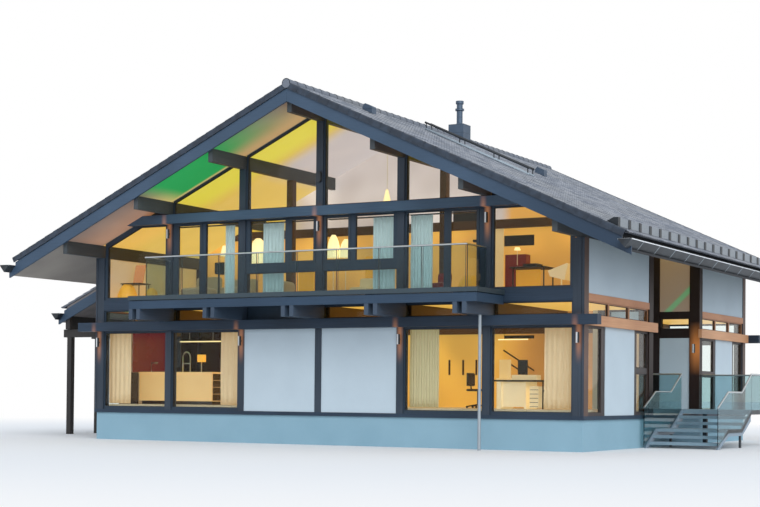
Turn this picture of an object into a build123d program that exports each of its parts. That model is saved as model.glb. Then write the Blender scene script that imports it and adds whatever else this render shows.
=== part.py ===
from build123d import *
from math import cos, radians, tan
import os

# A two-storey post-and-beam house with a broad gable front, glazed between its timber posts.
# X runs across the gable, Y from the front to the back, and Z up from the ground.
# The origin is on the ground, under the middle of the house. All sizes are in millimetres.

# Setting out of the timber frame
bay_width = 2500
bay_count = 6
house_depth = 13710
post_width = 200
post_depth = 280
corner_post_width = 310
corner_reach = 150
corner_groove_inset = 75
corner_groove_width = 14
corner_groove_depth = 18
side_post_width = 310

# Levels above the ground
plinth_height = 780
base_board_height = 100
ground_floor_level = 1020
ground_beam_level = 3123
beam_height = 253
beam_width = 255
clerestory_height = 357
floor_band_height = 304
upper_floor_level = 4020
upper_floor_thickness = 280
tie_beam_level = 6139
soffit_apex_level = 9030

# Foundations and ground floor
base_slab_thickness = 200
plinth_thickness = 240
plinth_setback = 50
base_board_thickness = 60
board_joint = 2

# Beams
front_beam_overrun = 440
side_beam_thickness = 100
side_beam_overrun = 100
purlin_width = 140
purlin_depth = 330
purlin_overhang = 1535

# Roof
roof_pitch = 24.55
eave_reach = 9463
verge_overhang = 1671
verge_board_thickness = 60
verge_board_drop = 69
verge_board_depth = 336
roof_rise = 370
soffit_panel_rise = 50
roof_core_setback = 313
tile_rise = 75
tile_setback = 163
verge_tile_width = 110
verge_tile_proud = 40
ridge_cap_radius = 125
ridge_cap_sink = 45

# Gutters
gutter_width = 350
gutter_depth = 205
gutter_wall = 10
gutter_overhang = 280
gutter_outside = 120
gutter_clearance = 2
strap_pitch = 1140
strap_width = 30
strap_thickness = 6

# Lower roof over the side porch
porch_width = 2407
porch_front = 3280
porch_post_size = 170
porch_post_setback = 250
porch_beam_width = 140
porch_beam_overrun = 160

# Balcony
joist_width = 120
joist_gap = 140
joist_height = 524
balcony_projection = 1580
deck_overrun_left = 10
deck_overrun_right = 310
deck_thickness = 116
deck_nosing = 30
fascia_thickness = 45
fascia_height = 220
fascia_groove = 20
balustrade_setback = 480
balustrade_inset = 30
balustrade_height = 1100
balustrade_pane_gap = 15
glass_thickness = 20
rail_diameter = 45
rail_slot = 12

# Windows
frame_depth = 100
frame_setback = 40
pane_thickness = 30
window_sill_gap = 80
window_head_gap = 50
clerestory_edge = 28
upper_sill_gap = 60
upper_head_gap = 25
transom_bottom = 4670
transom_top = 4930
slope_head = 60
end_slope_head = 150
panel_thickness = 200
panel_setback = 20
inner_bay_panes = [(160, 930), (1110, 2260)]
second_bay_panes = [(160, 1250), (1420, 2220)]
end_bay_pane = (160, 2250)
ground_pane_edge = 40

# Side walls, as distances from the front face
side_post_front = 4660
recess_front = 4980
recess_back = 9000
side_post_back = 9270
side_transom_bottom = 1980
side_transom_top = 2140
side_band_height = 180
front_block_panel = (1470, 3560)
front_block_tall_window = (280, 1270)
front_block_parted_window = (3740, 4660)
back_block_panel = (10640, 12330)
back_block_tall_window = (12460, 13430)
back_block_parted_window = (9270, 10510)
middle_panel = (6460, 7520)
middle_windows = [(4980, 6300), (7680, 9000)]

# Entrance recess
recess_depth = 1510
recess_wall_thickness = 140
recess_post_width = 270
flank_wall_thickness = 180
flank_front_inset = 60
flank_back_inset = 30
door_width = 1100
door_height = 2080
door_thickness = 70
door_middle = 7000

# Inner walls
inner_wall_thickness = 120
front_inner_wall = 4840
back_inner_wall = 8900
inner_beam_width = 140
inner_post_line = 2500

# Entrance stair
stair_clearance = 100
stair_width = 2000
stair_foot = 4030
flight_risers = 3
tread_thickness = 80
tread_going = 300
tread_overlap = 30
landing_length = 1260
stringer_thickness = 40
stringer_height = 180
platform_back = 9150
platform_thickness = 120
stair_rail_height = 1000
stair_glass_thickness = 17
platform_post_size = 120

# Roof fittings
chimney_y = 8350
chimney_size = 520
chimney_rise = 420
flue_diameter = 190
flue_height = 760
flue_collar_reach = 45
flue_collar_height = 60
flue_cap_reach = 30
flue_cap_height = 90
guard_setback = 413
guard_pitch = 720
guard_height = 200
guard_thickness = 25
guard_bracket_width = 150
guard_bracket_foot = 260
guard_bracket_top = 90
ladder_x = 870
ladder_y = 4300
ladder_run = 3700
ladder_height = 240
ladder_width = 400
ladder_bar = 30
ladder_rung_pitch = 450
vent_places = [(820, 950), (2940, 7700)]
vent_length = 300
vent_width = 220
vent_height = 160

# Lamps, speaker and downpipe
lamp_radius = 45
lamp_height = 260
lamp_standoff = 30
lamp_arm = 40
lamp_level = 2810
upper_lamp_level = 5870
speaker_width = 150
speaker_height = 300
speaker_depth = 90
speaker_level = 7200
pipe_radius = 40
pipe_standoff = 650

# Derived positions
slope = tan(radians(roof_pitch))
half_width = bay_width * bay_count / 2
wall_x = half_width + corner_reach
recess_wall = wall_x - recess_depth
stair_left = wall_x + stair_clearance
stair_right = stair_left + stair_width
front = -house_depth / 2
back = house_depth / 2
line_xs = [-half_width + bay_width * i for i in range(bay_count + 1)]
beam_top = ground_beam_level + beam_height
clerestory_top = beam_top + clerestory_height
band_top = clerestory_top + floor_band_height
sill_level = plinth_height + base_board_height
tie_beam_top = tie_beam_level + beam_height
corner_inner = wall_x - corner_post_width
gutter_right = eave_reach + gutter_outside
gutter_middle = gutter_right - gutter_width / 2
gutter_bottom = soffit_apex_level - slope * gutter_middle + soffit_panel_rise
porch_reach = eave_reach + porch_width
guard_reach = eave_reach - guard_setback
tile_surface = roof_rise + tile_rise


def soffit(x):
    """Level of the roof's underside above a place across the gable."""
    return soffit_apex_level - slope * abs(x)


def write_piece(builder, label):
    """Label a finished piece and write it as a file of its own."""
    builder.part.label = label
    export_step(builder.part, f"parts/{label}.step")


def block(x_range, y_range, z_range, mode=Mode.ADD):
    """A plain squared piece between two values along each axis."""
    size = [high - low for low, high in (x_range, y_range, z_range)]
    middle = [(high + low) / 2 for low, high in (x_range, y_range, z_range)]
    with Locations(tuple(middle)):
        Box(*size, mode=mode)


def upright(points, y_near, y_far, mode=Mode.ADD):
    """A piece with an outline drawn across the gable, in X and Z."""
    with BuildSketch(Plane.XZ.offset(-y_far)) as outline:
        Polygon(*points, align=None)
    extrude(outline.sketch, amount=y_far - y_near, mode=mode)


def lengthways(points, x_near, x_far, mode=Mode.ADD):
    """A piece with an outline drawn along the side, in Y and Z."""
    with BuildSketch(Plane.YZ.offset(x_near)) as outline:
        Polygon(*points, align=None)
    extrude(outline.sketch, amount=x_far - x_near, mode=mode)


def rectangle(low_a, high_a, low_b, high_b):
    return [(low_a, low_b), (high_a, low_b), (high_a, high_b), (low_a, high_b)]


def mirrored(points, side):
    """The outline as it is on the right (side 1), or its mirror image on the left (side -1)."""
    return [(side * x, z) for x, z in points]


# Plinth: the rendered base, on its slab
with BuildPart() as plinth:
    plinth_x = wall_x - plinth_setback
    plinth_front = front + plinth_setback
    block((-plinth_x, plinth_x), (plinth_front, -plinth_front), (0, plinth_height))
    block(
        (-plinth_x + plinth_thickness, plinth_x - plinth_thickness),
        (plinth_front + plinth_thickness, -plinth_front - plinth_thickness),
        (base_slab_thickness, plinth_height),
        mode=Mode.SUBTRACT,
    )
write_piece(plinth, "plinth")

# Ground floor slab
floor_x = wall_x - base_board_thickness
with BuildPart() as ground_floor:
    block(
        (-floor_x, floor_x),
        (front + base_board_thickness, back - base_board_thickness),
        (plinth_height, sill_level),
    )
    room_x = wall_x - side_post_width
    block((-room_x, room_x), (front + post_depth, back - post_depth), (sill_level, ground_floor_level))
    block(
        (recess_wall - recess_wall_thickness, wall_x),
        (front + side_post_front, front + side_post_back),
        (sill_level, ground_floor_level),
        mode=Mode.SUBTRACT,
    )
write_piece(ground_floor, "ground_floor")

# Base board: the dark weather board round the edge of the floor
with BuildPart() as base_board:
    board_z = (plinth_height, sill_level)
    board_end = front + base_board_thickness + board_joint
    block((-wall_x, wall_x), (front, front + base_board_thickness), board_z)
    block((-wall_x, wall_x), (back - base_board_thickness, back), board_z)
    block((-wall_x, -floor_x), (board_end, -board_end), board_z)
    block((floor_x, wall_x), (board_end, -board_end), board_z)
write_piece(base_board, "base_board")


def post_row(y_range):
    """The seven posts of a gable wall, each as high as the purlin that it carries.

    A groove in each corner post marks the joint between its two planks.
    """
    for x in line_xs:
        top = soffit(x) - purlin_depth
        if abs(x) == half_width:
            side = 1 if x > 0 else -1
            ends = sorted((side * wall_x, side * corner_inner))
            block(ends, y_range, (sill_level, top))
            groove = side * (wall_x - corner_groove_inset)
            for face in (front, back):
                block(
                    (groove - corner_groove_width / 2, groove + corner_groove_width / 2),
                    (face - corner_groove_depth, face + corner_groove_depth),
                    (sill_level, top),
                    mode=Mode.SUBTRACT,
                )
        else:
            block((x - post_width / 2, x + post_width / 2), y_range, (sill_level, top))


with BuildPart() as front_posts:
    post_row((front, front + post_depth))
write_piece(front_posts, "front_posts")

with BuildPart() as rear_posts:
    post_row((back - post_depth, back))
write_piece(rear_posts, "rear_posts")

# Posts of the side walls, and the posts in the corners of the entrance recess
side_post_top = soffit(half_width) - purlin_depth
with BuildPart() as side_posts:
    for y_range in ((side_post_front, recess_front), (recess_back, side_post_back)):
        span = (front + y_range[0], front + y_range[1])
        block((wall_x - side_post_width, wall_x), span, (sill_level, side_post_top))
        block((-wall_x, -wall_x + side_post_width), span, (sill_level, side_post_top))
        right = recess_wall + recess_post_width
        top_points = [
            (recess_wall, sill_level),
            (right, sill_level),
            (right, soffit(right)),
            (recess_wall, soffit(recess_wall)),
        ]
        upright(top_points, *span)
write_piece(side_posts, "side_posts")

# Beams in front of the gable posts at the first floor
with BuildPart() as gable_beams:
    reach = wall_x + front_beam_overrun
    for y_range in ((front - beam_width, front), (back, back + beam_width)):
        block((-reach, reach), y_range, (ground_beam_level, beam_top))
write_piece(gable_beams, "gable_beams")

# Beams on the side walls
with BuildPart() as side_beams:
    outer = wall_x + side_beam_thickness
    beam_z = (ground_beam_level, beam_top)
    block((wall_x, outer), (front, front + recess_front + side_beam_overrun), beam_z)
    block((wall_x, outer), (front + recess_back - side_beam_overrun, back), beam_z)
    block((-outer, -wall_x), (front, back), beam_z)
write_piece(side_beams, "side_beams")

# Tie beams across the gables, with ends cut to the slope of the roof
tie_low = (soffit_apex_level - tie_beam_level) / slope
tie_high = (soffit_apex_level - tie_beam_top) / slope
tie_outline = [
    (-tie_low, tie_beam_level),
    (tie_low, tie_beam_level),
    (tie_high, tie_beam_top),
    (-tie_high, tie_beam_top),
]
with BuildPart() as tie_beams:
    upright(tie_outline, front - beam_width, front)
    upright(tie_outline, back, back + beam_width)
write_piece(tie_beams, "tie_beams")

# Purlins from front to back, bevelled to the roof on top
with BuildPart() as purlins:
    for x in line_xs:
        low = x - purlin_width / 2
        high = x + purlin_width / 2
        underside = soffit(x) - purlin_depth
        outline = [(low, underside), (high, underside), (high, soffit(high))]
        if x == 0:
            outline.append((0, soffit_apex_level))
        outline.append((low, soffit(low)))
        upright(outline, front - purlin_overhang, back + purlin_overhang)
write_piece(purlins, "purlins")

# Roof slabs between the soffit boards and the tiles
roof_front = front - verge_overhang + verge_board_thickness
porch_verge_face = front + porch_front - verge_board_thickness
core_end = eave_reach - roof_core_setback
tile_end = eave_reach - tile_setback
for label, side in (("roof_left", -1), ("roof_right", 1)):
    outline = [
        (0, soffit_apex_level),
        (eave_reach, soffit(eave_reach)),
        (eave_reach, soffit(eave_reach) + soffit_panel_rise),
        (core_end, soffit(core_end) + soffit_panel_rise),
        (core_end, soffit(core_end) + roof_rise),
        (0, soffit_apex_level + roof_rise),
    ]
    with BuildPart() as roof_slab:
        upright(mirrored(outline, side), roof_front, -roof_front)
        if side < 0:
            porch_cut = rectangle(-eave_reach, -core_end, 0, soffit_apex_level)
            upright(porch_cut, porch_verge_face, -porch_verge_face, mode=Mode.SUBTRACT)
    write_piece(roof_slab, label)

# Tile layers
tile_front = front - verge_overhang + verge_tile_width - verge_tile_proud
for label, side in (("tiles_left", -1), ("tiles_right", 1)):
    low = roof_rise
    high = tile_surface
    outline = [
        (0, soffit_apex_level + low),
        (tile_end, soffit(tile_end) + low),
        (tile_end, soffit(tile_end) + high),
        (0, soffit_apex_level + high),
    ]
    with BuildPart() as tile_layer:
        upright(mirrored(outline, side), tile_front, -tile_front)
        if side < 0:
            porch_cut = rectangle(-eave_reach, -core_end, 0, soffit_apex_level)
            upright(porch_cut, porch_verge_face, -porch_verge_face, mode=Mode.SUBTRACT)
    write_piece(tile_layer, label)

# Ridge tiles: half-round caps seated on the two tile layers
ridge_base = soffit_apex_level + tile_surface
verge_face = front - verge_overhang - verge_tile_proud
with BuildPart() as ridge_tiles:
    with BuildSketch(Plane.XZ.offset(verge_face)) as ridge_outline:
        with Locations((0, ridge_base - ridge_cap_sink)):
            Circle(ridge_cap_radius)
        drop = slope * ridge_cap_radius
        below = [
            (-ridge_cap_radius, ridge_base - drop),
            (0, ridge_base),
            (ridge_cap_radius, ridge_base - drop),
            (ridge_cap_radius, ridge_base - drop - 2 * ridge_cap_radius),
            (-ridge_cap_radius, ridge_base - drop - 2 * ridge_cap_radius),
        ]
        Polygon(*below, align=None, mode=Mode.SUBTRACT)
    extrude(amount=-2 * verge_face)
write_piece(ridge_tiles, "ridge_tiles")


def gutter_outline(inset):
    """The V of a gutter's trough, drawn inwards by a wall or outwards by a clearance."""
    gutter_top = gutter_bottom + gutter_depth
    left = gutter_right - gutter_width
    return [
        (left + inset, gutter_top),
        (gutter_middle, gutter_bottom + inset),
        (gutter_right - inset, gutter_top),
    ]


def verge_board(side, start, end, y_range):
    """One raking board between two distances from the ridge, notched at its foot for the gutter."""
    low = soffit_apex_level - verge_board_drop
    high = low + verge_board_depth
    outline = [
        (start, low - slope * start),
        (end, low - slope * end),
        (end, high - slope * end),
        (start, high - slope * start),
    ]
    upright(mirrored(outline, side), *y_range)
    shift = end - eave_reach
    notch = [(x + shift, z - slope * shift) for x, z in gutter_outline(-gutter_clearance)]
    mouth = gutter_width
    outline = [(notch[0][0], notch[0][1] + mouth), *notch, (notch[2][0], notch[2][1] + mouth)]
    upright(mirrored(outline, side), *y_range, mode=Mode.SUBTRACT)


with BuildPart() as verge_boards:
    for y_face, direction in ((front - verge_overhang, 1), (back + verge_overhang, -1)):
        y_range = sorted((y_face, y_face + direction * verge_board_thickness))
        for side in (-1, 1):
            verge_board(side, board_joint, eave_reach, y_range)
    for y_face, direction in ((porch_verge_face, 1), (-porch_verge_face, -1)):
        y_range = sorted((y_face, y_face + direction * verge_board_thickness))
        verge_board(-1, core_end, porch_reach, y_range)
write_piece(verge_boards, "verge_boards")

# Verge tiles: the dark capping over the raking boards
with BuildPart() as verge_tiles:
    low = verge_board_depth - verge_board_drop
    high = tile_surface
    for side in (-1, 1):
        outline = [
            (board_joint, soffit(board_joint) + low),
            (tile_end, soffit(tile_end) + low),
            (tile_end, soffit(tile_end) + high),
            (board_joint, soffit(board_joint) + high),
        ]
        for y_face, direction in ((verge_face, 1), (-verge_face, -1)):
            y_range = sorted((y_face, y_face + direction * verge_tile_width))
            upright(mirrored(outline, side), *y_range)
    inner = front - verge_overhang + verge_board_thickness
    cut = [
        (-eave_reach, soffit(eave_reach)),
        (0, soffit_apex_level),
        (eave_reach, soffit(eave_reach)),
        (eave_reach, soffit(eave_reach) + roof_rise),
        (0, soffit_apex_level + roof_rise),
        (-eave_reach, soffit(eave_reach) + roof_rise),
    ]
    upright(cut, inner, -inner, mode=Mode.SUBTRACT)
write_piece(verge_tiles, "verge_tiles")


def gutter(side, shift, y_range):
    """A V-shaped trough with closed ends, moved down the slope by shift."""
    outer = [(side * (x + shift), z - slope * shift) for x, z in gutter_outline(0)]
    inner = [(side * (x + shift), z - slope * shift) for x, z in gutter_outline(gutter_wall)]
    upright(outer, *y_range)
    upright(inner, y_range[0] + gutter_wall, y_range[1] - gutter_wall, mode=Mode.SUBTRACT)


# Gutters
gutter_front = front - verge_overhang - gutter_overhang
porch_start = front + porch_front
porch_shift = porch_reach - eave_reach
gutter_runs = [
    (1, 0, gutter_front, -gutter_front),
    (-1, 0, gutter_front, porch_verge_face),
    (-1, 0, -porch_verge_face, -gutter_front),
    (-1, porch_shift, porch_start - gutter_overhang, -porch_start + gutter_overhang),
]
with BuildPart() as gutters:
    for side, shift, start, end in gutter_runs:
        gutter(side, shift, (start, end))
write_piece(gutters, "gutters")

# Gutter straps: flat steel hangers on the outer face of each trough
with BuildPart() as gutter_straps:
    for side, shift, start, end in gutter_runs:
        top = gutter_bottom + gutter_depth
        face = [(gutter_middle, gutter_bottom), (gutter_right, top)]
        outer_face = [(x + strap_thickness, z) for x, z in reversed(face)]
        moved = [(x + shift, z - slope * shift) for x, z in face + outer_face]
        strap_count = int((end - start) // strap_pitch)
        first = (start + end - strap_pitch * (strap_count - 1)) / 2
        for k in range(strap_count):
            y = first + k * strap_pitch
            upright(mirrored(moved, side), y - strap_width / 2, y + strap_width / 2)
write_piece(gutter_straps, "gutter_straps")

# Lower roof over the porch on the left, in the plane of the main roof
porch_core_end = porch_reach - roof_core_setback
with BuildPart() as porch_roof:
    outline = [
        (core_end, soffit(core_end)),
        (porch_reach, soffit(porch_reach)),
        (porch_reach, soffit(porch_reach) + soffit_panel_rise),
        (porch_core_end, soffit(porch_core_end) + soffit_panel_rise),
        (porch_core_end, soffit(porch_core_end) + roof_rise),
        (core_end, soffit(core_end) + roof_rise),
    ]
    upright(mirrored(outline, -1), porch_start, -porch_start)
write_piece(porch_roof, "porch_roof")

porch_tile_end = porch_reach - tile_setback
with BuildPart() as porch_tiles:
    outline = [
        (core_end, soffit(core_end) + roof_rise),
        (porch_tile_end, soffit(porch_tile_end) + roof_rise),
        (porch_tile_end, soffit(porch_tile_end) + roof_rise + tile_rise),
        (core_end, soffit(core_end) + roof_rise + tile_rise),
    ]
    upright(mirrored(outline, -1), porch_start, -porch_start)
write_piece(porch_tiles, "porch_tiles")

# Posts and beams of the porch
porch_post_x = -(porch_reach - porch_post_setback)
porch_post_right = porch_post_x + porch_post_size
with BuildPart() as porch_frame:
    post_ys = [
        porch_start + porch_post_size,
        front + (side_post_front + recess_front) / 2,
        front + (recess_back + side_post_back) / 2,
        -porch_start - porch_post_size,
    ]
    porch_beam_x = (porch_post_x - porch_beam_overrun, -(wall_x + side_beam_thickness))
    for y in post_ys:
        half = porch_post_size / 2
        block((porch_post_x, porch_post_right), (y - half, y + half), (0, ground_beam_level))
        half = porch_beam_width / 2
        block(porch_beam_x, (y - half, y + half), (ground_beam_level, beam_top))
    plate = [
        (porch_post_x, beam_top),
        (porch_post_right, beam_top),
        (porch_post_right, soffit(porch_post_right)),
        (porch_post_x, soffit(porch_post_x)),
    ]
    upright(plate, porch_start, -porch_start)
write_piece(porch_frame, "porch_frame")

# Upper floor in three panels, left open at the entrance recess
with BuildPart() as upper_floor:
    floor_z = (upper_floor_level - upper_floor_thickness, upper_floor_level)
    floor_x = wall_x - side_post_width
    recess_edge = recess_wall - recess_wall_thickness
    block((-floor_x, floor_x), (front + post_depth, front + side_post_front), floor_z)
    block((-floor_x, floor_x), (front + side_post_back, back - post_depth), floor_z)
    middle_y = (front + side_post_front + board_joint, front + side_post_back - board_joint)
    block((-floor_x, recess_edge), middle_y, floor_z)
write_piece(upper_floor, "upper_floor")


def bay_edges(i):
    """Inner faces of the posts on each side of bay i."""
    low = line_xs[i] + post_width / 2
    high = line_xs[i + 1] - post_width / 2
    if i == 0:
        low = -corner_inner
    if i == bay_count - 1:
        high = corner_inner
    return low, high


# Floor bands: the boards over the clerestory lights, between the posts
band_depth = frame_setback + frame_depth
side_blocks = [(post_depth, side_post_front), (side_post_back, house_depth - post_depth)]
left_blocks = side_blocks + [(recess_front, recess_back)]
with BuildPart() as floor_bands:
    for y_range in ((front, front + band_depth), (back - band_depth, back)):
        for i in range(bay_count):
            block(bay_edges(i), y_range, (clerestory_top, band_top))
    band_z = (clerestory_top, clerestory_top + side_band_height)
    for low, high in side_blocks:
        block((wall_x - band_depth, wall_x), (front + low, front + high), band_z)
    for low, high in left_blocks:
        block((-wall_x, -wall_x + band_depth), (front + low, front + high), band_z)
write_piece(floor_bands, "floor_bands")

# Windows of the gable walls
panel_bays = [bay_count // 2 - 1, bay_count // 2]
glazed_ground_bays = [i for i in range(bay_count) if i not in panel_bays]
dark_clerestory_bay = panel_bays[0]
bay_panes = [inner_bay_panes, second_bay_panes, [end_bay_pane]]


def gable_rows(y_face, direction):
    """Y ranges of the frames and of the panes on a gable wall."""
    near = y_face + direction * frame_setback
    far = near + direction * frame_depth
    middle = (near + far) / 2
    frame_range = sorted((near, far))
    pane_range = (middle - pane_thickness / 2, middle + pane_thickness / 2)
    return frame_range, pane_range


def ground_panes(i):
    """Ground floor and clerestory panes of one bay."""
    low, high = bay_edges(i)
    panes = []
    if i in glazed_ground_bays:
        panes.append(rectangle(
            low + ground_pane_edge,
            high - ground_pane_edge,
            sill_level + window_sill_gap,
            ground_beam_level - window_head_gap,
        ))
    if i != dark_clerestory_bay:
        panes.append(rectangle(
            low + ground_pane_edge,
            high - ground_pane_edge,
            beam_top + clerestory_edge,
            clerestory_top - clerestory_edge,
        ))
    return panes


def pane_spans(i):
    """Left and right edges of the upper panes in bay i, mirrored about the ridge."""
    twin = max(i, bay_count - 1 - i)
    spans = [(line_xs[twin] + a, line_xs[twin] + b) for a, b in bay_panes[twin - bay_count // 2]]
    if i < twin:
        return [(-b, -a) for a, b in spans]
    return spans


def upper_panes(i):
    """Panes of the upper storey and of the gable in one bay."""
    sill = band_top + upper_sill_gap
    head = tie_beam_level - upper_head_gap
    panes = []
    bay_low = bay_edges(i)[0] + ground_pane_edge
    bay_high = bay_edges(i)[1] - ground_pane_edge
    if i in panel_bays:
        panes.append(rectangle(bay_low, bay_high, sill, transom_bottom))
    for low, high in pane_spans(i):
        if i in (0, bay_count - 1):
            sign = 1 if low > 0 else -1
            outer = max(abs(low), abs(high))
            inner = min(abs(low), abs(high))
            break_x = (soffit_apex_level - end_slope_head - head) / slope
            outline = [
                (inner, sill),
                (outer, sill),
                (outer, soffit(outer) - end_slope_head),
                (break_x, head),
                (inner, head),
            ]
            panes.append(mirrored(outline, sign))
        elif i in panel_bays:
            panes.append(rectangle(low, high, transom_top, head))
        else:
            panes.append(rectangle(low, high, sill, head))
    if i not in (0, bay_count - 1):
        panes.append([
            (bay_low, tie_beam_top + window_head_gap),
            (bay_high, tie_beam_top + window_head_gap),
            (bay_high, soffit(bay_high) - slope_head),
            (bay_low, soffit(bay_low) - slope_head),
        ])
    return panes


def sheet_with_holes(outline, panes, make, near, far):
    """A window frame: a board cut out round its panes."""
    make(outline, near, far)
    for pane in panes:
        make(pane, near, far, mode=Mode.SUBTRACT)


for name, y_face, direction in (("front", front, 1), ("rear", back, -1)):
    frame_range, pane_range = gable_rows(y_face, direction)
    with BuildPart() as gable_frames:
        for i in range(bay_count):
            low, high = bay_edges(i)
            foot = sill_level if i in glazed_ground_bays else beam_top
            outline = rectangle(low, high, foot, clerestory_top)
            sheet_with_holes(outline, ground_panes(i), upright, *frame_range)
            outline = [(low, band_top), (high, band_top), (high, soffit(high)), (low, soffit(low))]
            sheet_with_holes(outline, upper_panes(i), upright, *frame_range)
    write_piece(gable_frames, f"{name}_frames")

    with BuildPart() as gable_glass:
        for i in range(bay_count):
            for pane in ground_panes(i) + upper_panes(i):
                upright(pane, *pane_range)
    write_piece(gable_glass, f"{name}_glass")

# White wall panels of the gable walls
with BuildPart() as gable_panels:
    for y_face, direction in ((front, 1), (back, -1)):
        near = y_face + direction * panel_setback
        y_range = sorted((near, near + direction * panel_thickness))
        for i in panel_bays:
            block(bay_edges(i), y_range, (sill_level, beam_top))
write_piece(gable_panels, "gable_panels")

# Windows and panels of the side walls
right_walls = [
    (side_blocks[0], [front_block_tall_window], [front_block_parted_window], front_block_panel),
    (side_blocks[1], [back_block_tall_window], [back_block_parted_window], back_block_panel),
]
left_walls = right_walls + [(left_blocks[2], [], middle_windows, middle_panel)]
side_frame_near = wall_x - frame_setback - frame_depth
side_frame_far = wall_x - frame_setback
side_pane_middle = (side_frame_near + side_frame_far) / 2


def side_window_panes(span, tall, parted):
    """Panes of the ground floor and of the clerestory between two side posts."""
    panes = []
    sill = sill_level + window_sill_gap
    head = ground_beam_level - window_head_gap
    for a, b in tall:
        panes.append(rectangle(front + a + ground_pane_edge, front + b - ground_pane_edge, sill, head))
    for a, b in parted:
        low = front + a + ground_pane_edge
        high = front + b - ground_pane_edge
        panes.append(rectangle(low, high, sill, side_transom_bottom))
        panes.append(rectangle(low, high, side_transom_top, head))
    third = (span[1] - span[0]) / 3
    for k in range(3):
        low = front + span[0] + k * third + ground_pane_edge
        high = front + span[0] + (k + 1) * third - ground_pane_edge
        panes.append(rectangle(low, high, beam_top + clerestory_edge, clerestory_top - clerestory_edge))
    return panes


side_walls = ((1, right_walls), (-1, left_walls))
with BuildPart() as side_frames:
    for side, walls in side_walls:
        near, far = sorted((side * side_frame_near, side * side_frame_far))
        for span, tall, parted, panel in walls:
            outline = rectangle(front + span[0], front + span[1], sill_level, clerestory_top)
            sheet_with_holes(outline, side_window_panes(span, tall, parted), lengthways, near, far)
            hole = rectangle(front + panel[0], front + panel[1], sill_level, beam_top)
            lengthways(hole, near, far, mode=Mode.SUBTRACT)
write_piece(side_frames, "side_frames")

with BuildPart() as side_panels:
    for side, walls in side_walls:
        panel_x = sorted((side * (wall_x - panel_setback), side * (wall_x - panel_thickness)))
        for span, tall, parted, panel in walls:
            block(panel_x, (front + panel[0], front + panel[1]), (sill_level, beam_top))
            upper_z = (clerestory_top + side_band_height, side_post_top)
            block(panel_x, (front + span[0], front + span[1]), upper_z)
write_piece(side_panels, "side_panels")

# Entrance recess: back wall with its door, and the two flank walls
door_y = (front + door_middle - door_width / 2, front + door_middle + door_width / 2)
door_z = (ground_floor_level, ground_floor_level + door_height)
with BuildPart() as recess_back_wall:
    wall_left = recess_wall - recess_wall_thickness
    outline = [
        (wall_left, sill_level),
        (recess_wall, sill_level),
        (recess_wall, soffit(recess_wall)),
        (wall_left, soffit(wall_left)),
    ]
    upright(outline, front + side_post_front, front + side_post_back)
    block((wall_left, recess_wall), door_y, door_z, mode=Mode.SUBTRACT)
write_piece(recess_back_wall, "recess_back_wall")

flank_left = recess_wall + recess_post_width
flank_right = wall_x - side_post_width
flank_ranges = (
    (front + side_post_front + flank_front_inset,
     front + side_post_front + flank_front_inset + flank_wall_thickness),
    (front + recess_back + flank_back_inset,
     front + recess_back + flank_back_inset + flank_wall_thickness),
)
with BuildPart() as recess_flank_walls:
    for y_range in flank_ranges:
        block((flank_left, flank_right), y_range, (sill_level, ground_beam_level))
        top = [
            (flank_left, clerestory_top + side_band_height),
            (flank_right, clerestory_top + side_band_height),
            (flank_right, soffit(flank_right)),
            (flank_left, soffit(flank_left)),
        ]
        upright(top, *y_range)
write_piece(recess_flank_walls, "recess_flank_walls")

recess_light = rectangle(flank_left + ground_pane_edge, flank_right - ground_pane_edge,
                         beam_top + clerestory_edge, clerestory_top - clerestory_edge)
with BuildPart() as recess_beams:
    for y_range in flank_ranges:
        outline = rectangle(flank_left, flank_right, ground_beam_level, clerestory_top + side_band_height)
        sheet_with_holes(outline, [recess_light], upright, *y_range)
write_piece(recess_beams, "recess_beams")

with BuildPart() as side_glass:
    for side, walls in side_walls:
        middle = side * side_pane_middle
        for span, tall, parted, panel in walls:
            for pane in side_window_panes(span, tall, parted):
                lengthways(pane, middle - pane_thickness / 2, middle + pane_thickness / 2)
    for y_range in flank_ranges:
        middle = sum(y_range) / 2
        upright(recess_light, middle - pane_thickness / 2, middle + pane_thickness / 2)
write_piece(side_glass, "side_glass")

with BuildPart() as entrance_door:
    middle = recess_wall - recess_wall_thickness / 2
    block((middle - door_thickness / 2, middle + door_thickness / 2), door_y, door_z)
write_piece(entrance_door, "entrance_door")

# Plain inner walls that close the lit rooms behind the windows
with BuildPart() as inner_walls:
    wall_end = recess_wall - recess_wall_thickness
    left_end = -(wall_x - side_post_width)
    for y_near in (front_inner_wall, back_inner_wall):
        y_range = (front + y_near, front + y_near + inner_wall_thickness)
        block((left_end, wall_end), y_range, (ground_floor_level, floor_z[0]))
        outline = [
            (left_end, upper_floor_level),
            (wall_end, upper_floor_level),
            (wall_end, soffit(wall_end)),
            (0, soffit_apex_level),
            (left_end, soffit(left_end)),
        ]
        upright(outline, *y_range)
        for x in line_xs:
            low = x - purlin_width / 2
            high = x + purlin_width / 2
            underside = soffit(x) - purlin_depth
            upright(rectangle(low, high, underside, soffit_apex_level + roof_rise),
                    *y_range, mode=Mode.SUBTRACT)
write_piece(inner_walls, "inner_walls")

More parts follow.
